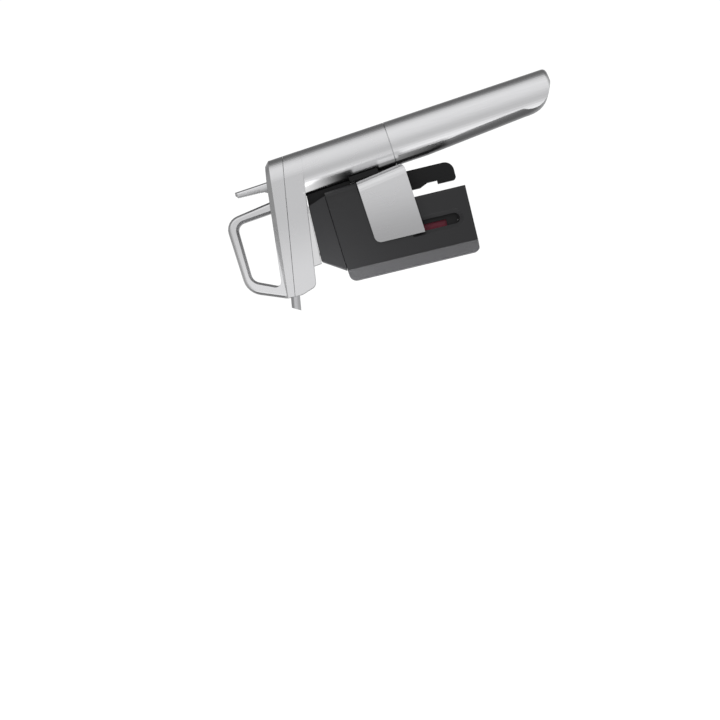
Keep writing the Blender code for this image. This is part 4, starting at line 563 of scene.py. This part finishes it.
# The rail's two screws, blackened steel, driven from below into the tube's casting.
black_screw = finish(
    "black_screw", color=(0.09, 0.09, 0.095), rough=0.36, metal=1.0,
    grain_scale=(1200, 1200, 1200), grain_depth=0.08, shine_drift=0.05,
    edge_radius=0.0002, painted_edge_tone=1.6,
)
dress(black_screw, "rail_screw_1", "rail_screw_2")


# The latch that the rail clicks over and the small spring below it: steel, ground round on top
# where the rail rubs it.
latch_steel = finish(
    "latch_steel", color=(0.64, 0.65, 0.66), rough=0.20, metal=1.0,
    grain_scale=(1500, 1500, 200), grain_depth=0.06, shine_drift=0.04,
    edge_radius=0.0002, painted_edge_tone=1.15,
)
dress(latch_steel, "rail_latch", "latch_spring")
squeezed_spring("latch_spring", "clamp")


# The clamp's two shells: moulded black plastic with the fine even grain of a spark-eroded mould,
# with their edges painted a little lighter, a painted edge highlight. Two cross screws hold them
# together.
shell_plastic = finish(
    "shell_plastic", color=(0.020, 0.020, 0.021), rough=0.46, metal=0.0,
    grain_scale=(2200, 2200, 2200), grain_depth=0.12, shine_drift=0.04,
    edge_radius=0.0006, painted_edge_tone=1.3, gloss=0.35,
)
dress(shell_plastic, "clamp_shell_left", "clamp_shell_right")


# The screws across the shells, with bright nickel-plated heads.
nickel_plating = finish(
    "nickel_plating", color=(0.66, 0.65, 0.63), rough=0.24, metal=1.0,
    grain_scale=(1200, 1200, 1200), grain_depth=0.06, shine_drift=0.04,
    edge_radius=0.0002, painted_edge_tone=1.1,
)
dress(nickel_plating, "shell_screw_1", "shell_screw_2")


# The black nose between the head and the clamp: one moulding with flat tapered sides, plugged into
# the shells.
nose_plastic = finish(
    "nose_plastic", color=(0.020, 0.020, 0.021), rough=0.44, metal=0.0,
    grain_scale=(2200, 2200, 2200), grain_depth=0.12, shine_drift=0.04,
    edge_radius=0.0006, painted_edge_tone=1.3, gloss=0.35,
)
dress(nose_plastic, "nose")


# The two bands over the saddle: stainless sheet, bent over the housing's shoulder and pressed into
# its pocket. They are brushed along the fold, and each is painted darker towards its lower edge, a
# painted shade.
band_steel = finish(
    "band_steel", color=(0.78, 0.78, 0.785), rough=0.27, metal=1.0,
    grain_scale=(60, 1400, 1400), grain_depth=0.03, shine_drift=0.02,
    edge_radius=0.0004, painted_edge_tone=1.05,
)
paint_shade_along(band_steel, upward, start=-0.004, end=0.036, before=0.64, after=1.0)
dress(band_steel, "band_left", "band_right")


# The guide that keeps the needle straight: a short turned brass bush, pressed in the nose.
guide_brass = finish(
    "guide_brass", color=(0.74, 0.56, 0.26), rough=0.26, metal=1.0,
    grain_scale=(2400, 300, 300), grain_depth=0.08, shine_drift=0.03,
    edge_radius=0.0002, painted_edge_tone=1.1,
)
dress(guide_brass, "needle_guide")


# The soft ring at the back of the nose: moulded silicone, dark and quite dull.
seal_rubber = finish(
    "seal_rubber", color=(0.018, 0.018, 0.018), rough=0.72, metal=0.0,
    grain_scale=(1800, 1800, 1800), grain_depth=0.10, shine_drift=0.05,
    edge_radius=0.0003, painted_edge_tone=1.3,
)
dress(seal_rubber, "mouth_seal")


# The two jaws that swing in to grip: the shells' black plastic, left as moulded, but painted darker
# than the shells, a painted shade for the dark inside of the slots. Each turns on a pin of its own.
jaw_plastic_painted_dark = finish(
    "jaw_plastic_painted_dark", color=(0.006, 0.006, 0.0065), rough=0.50, metal=0.0,
    grain_scale=(2000, 2000, 2000), grain_depth=0.14, shine_drift=0.05,
    edge_radius=0.0004, painted_edge_tone=1.3, gloss=0.35,
)
dress(jaw_plastic_painted_dark, "left_jaw", "right_jaw")


# The jaws' pins and the coil springs that push the jaws in: ground rod and drawn spring wire.
jaw_steel = finish(
    "jaw_steel", color=(0.62, 0.63, 0.65), rough=0.22, metal=1.0,
    grain_scale=(1500, 1500, 300), grain_depth=0.06, shine_drift=0.03,
    edge_radius=0.0001, painted_edge_tone=1.1,
)
dress(jaw_steel, "left_jaw_pin", "right_jaw_pin", "left_jaw_spring", "right_jaw_spring")


# The deep red pads on the jaws, which show through the slots: soft rubber, moulded on the jaws and
# slightly dusty.
red_rubber = finish(
    "red_rubber", color=(0.20, 0.012, 0.035), rough=0.55, metal=0.0,
    grain_scale=(1800, 1800, 1800), grain_depth=0.10, shine_drift=0.05,
    edge_radius=0.0004, painted_edge_tone=1.2,
)
dress(red_rubber, "left_pad", "right_pad")
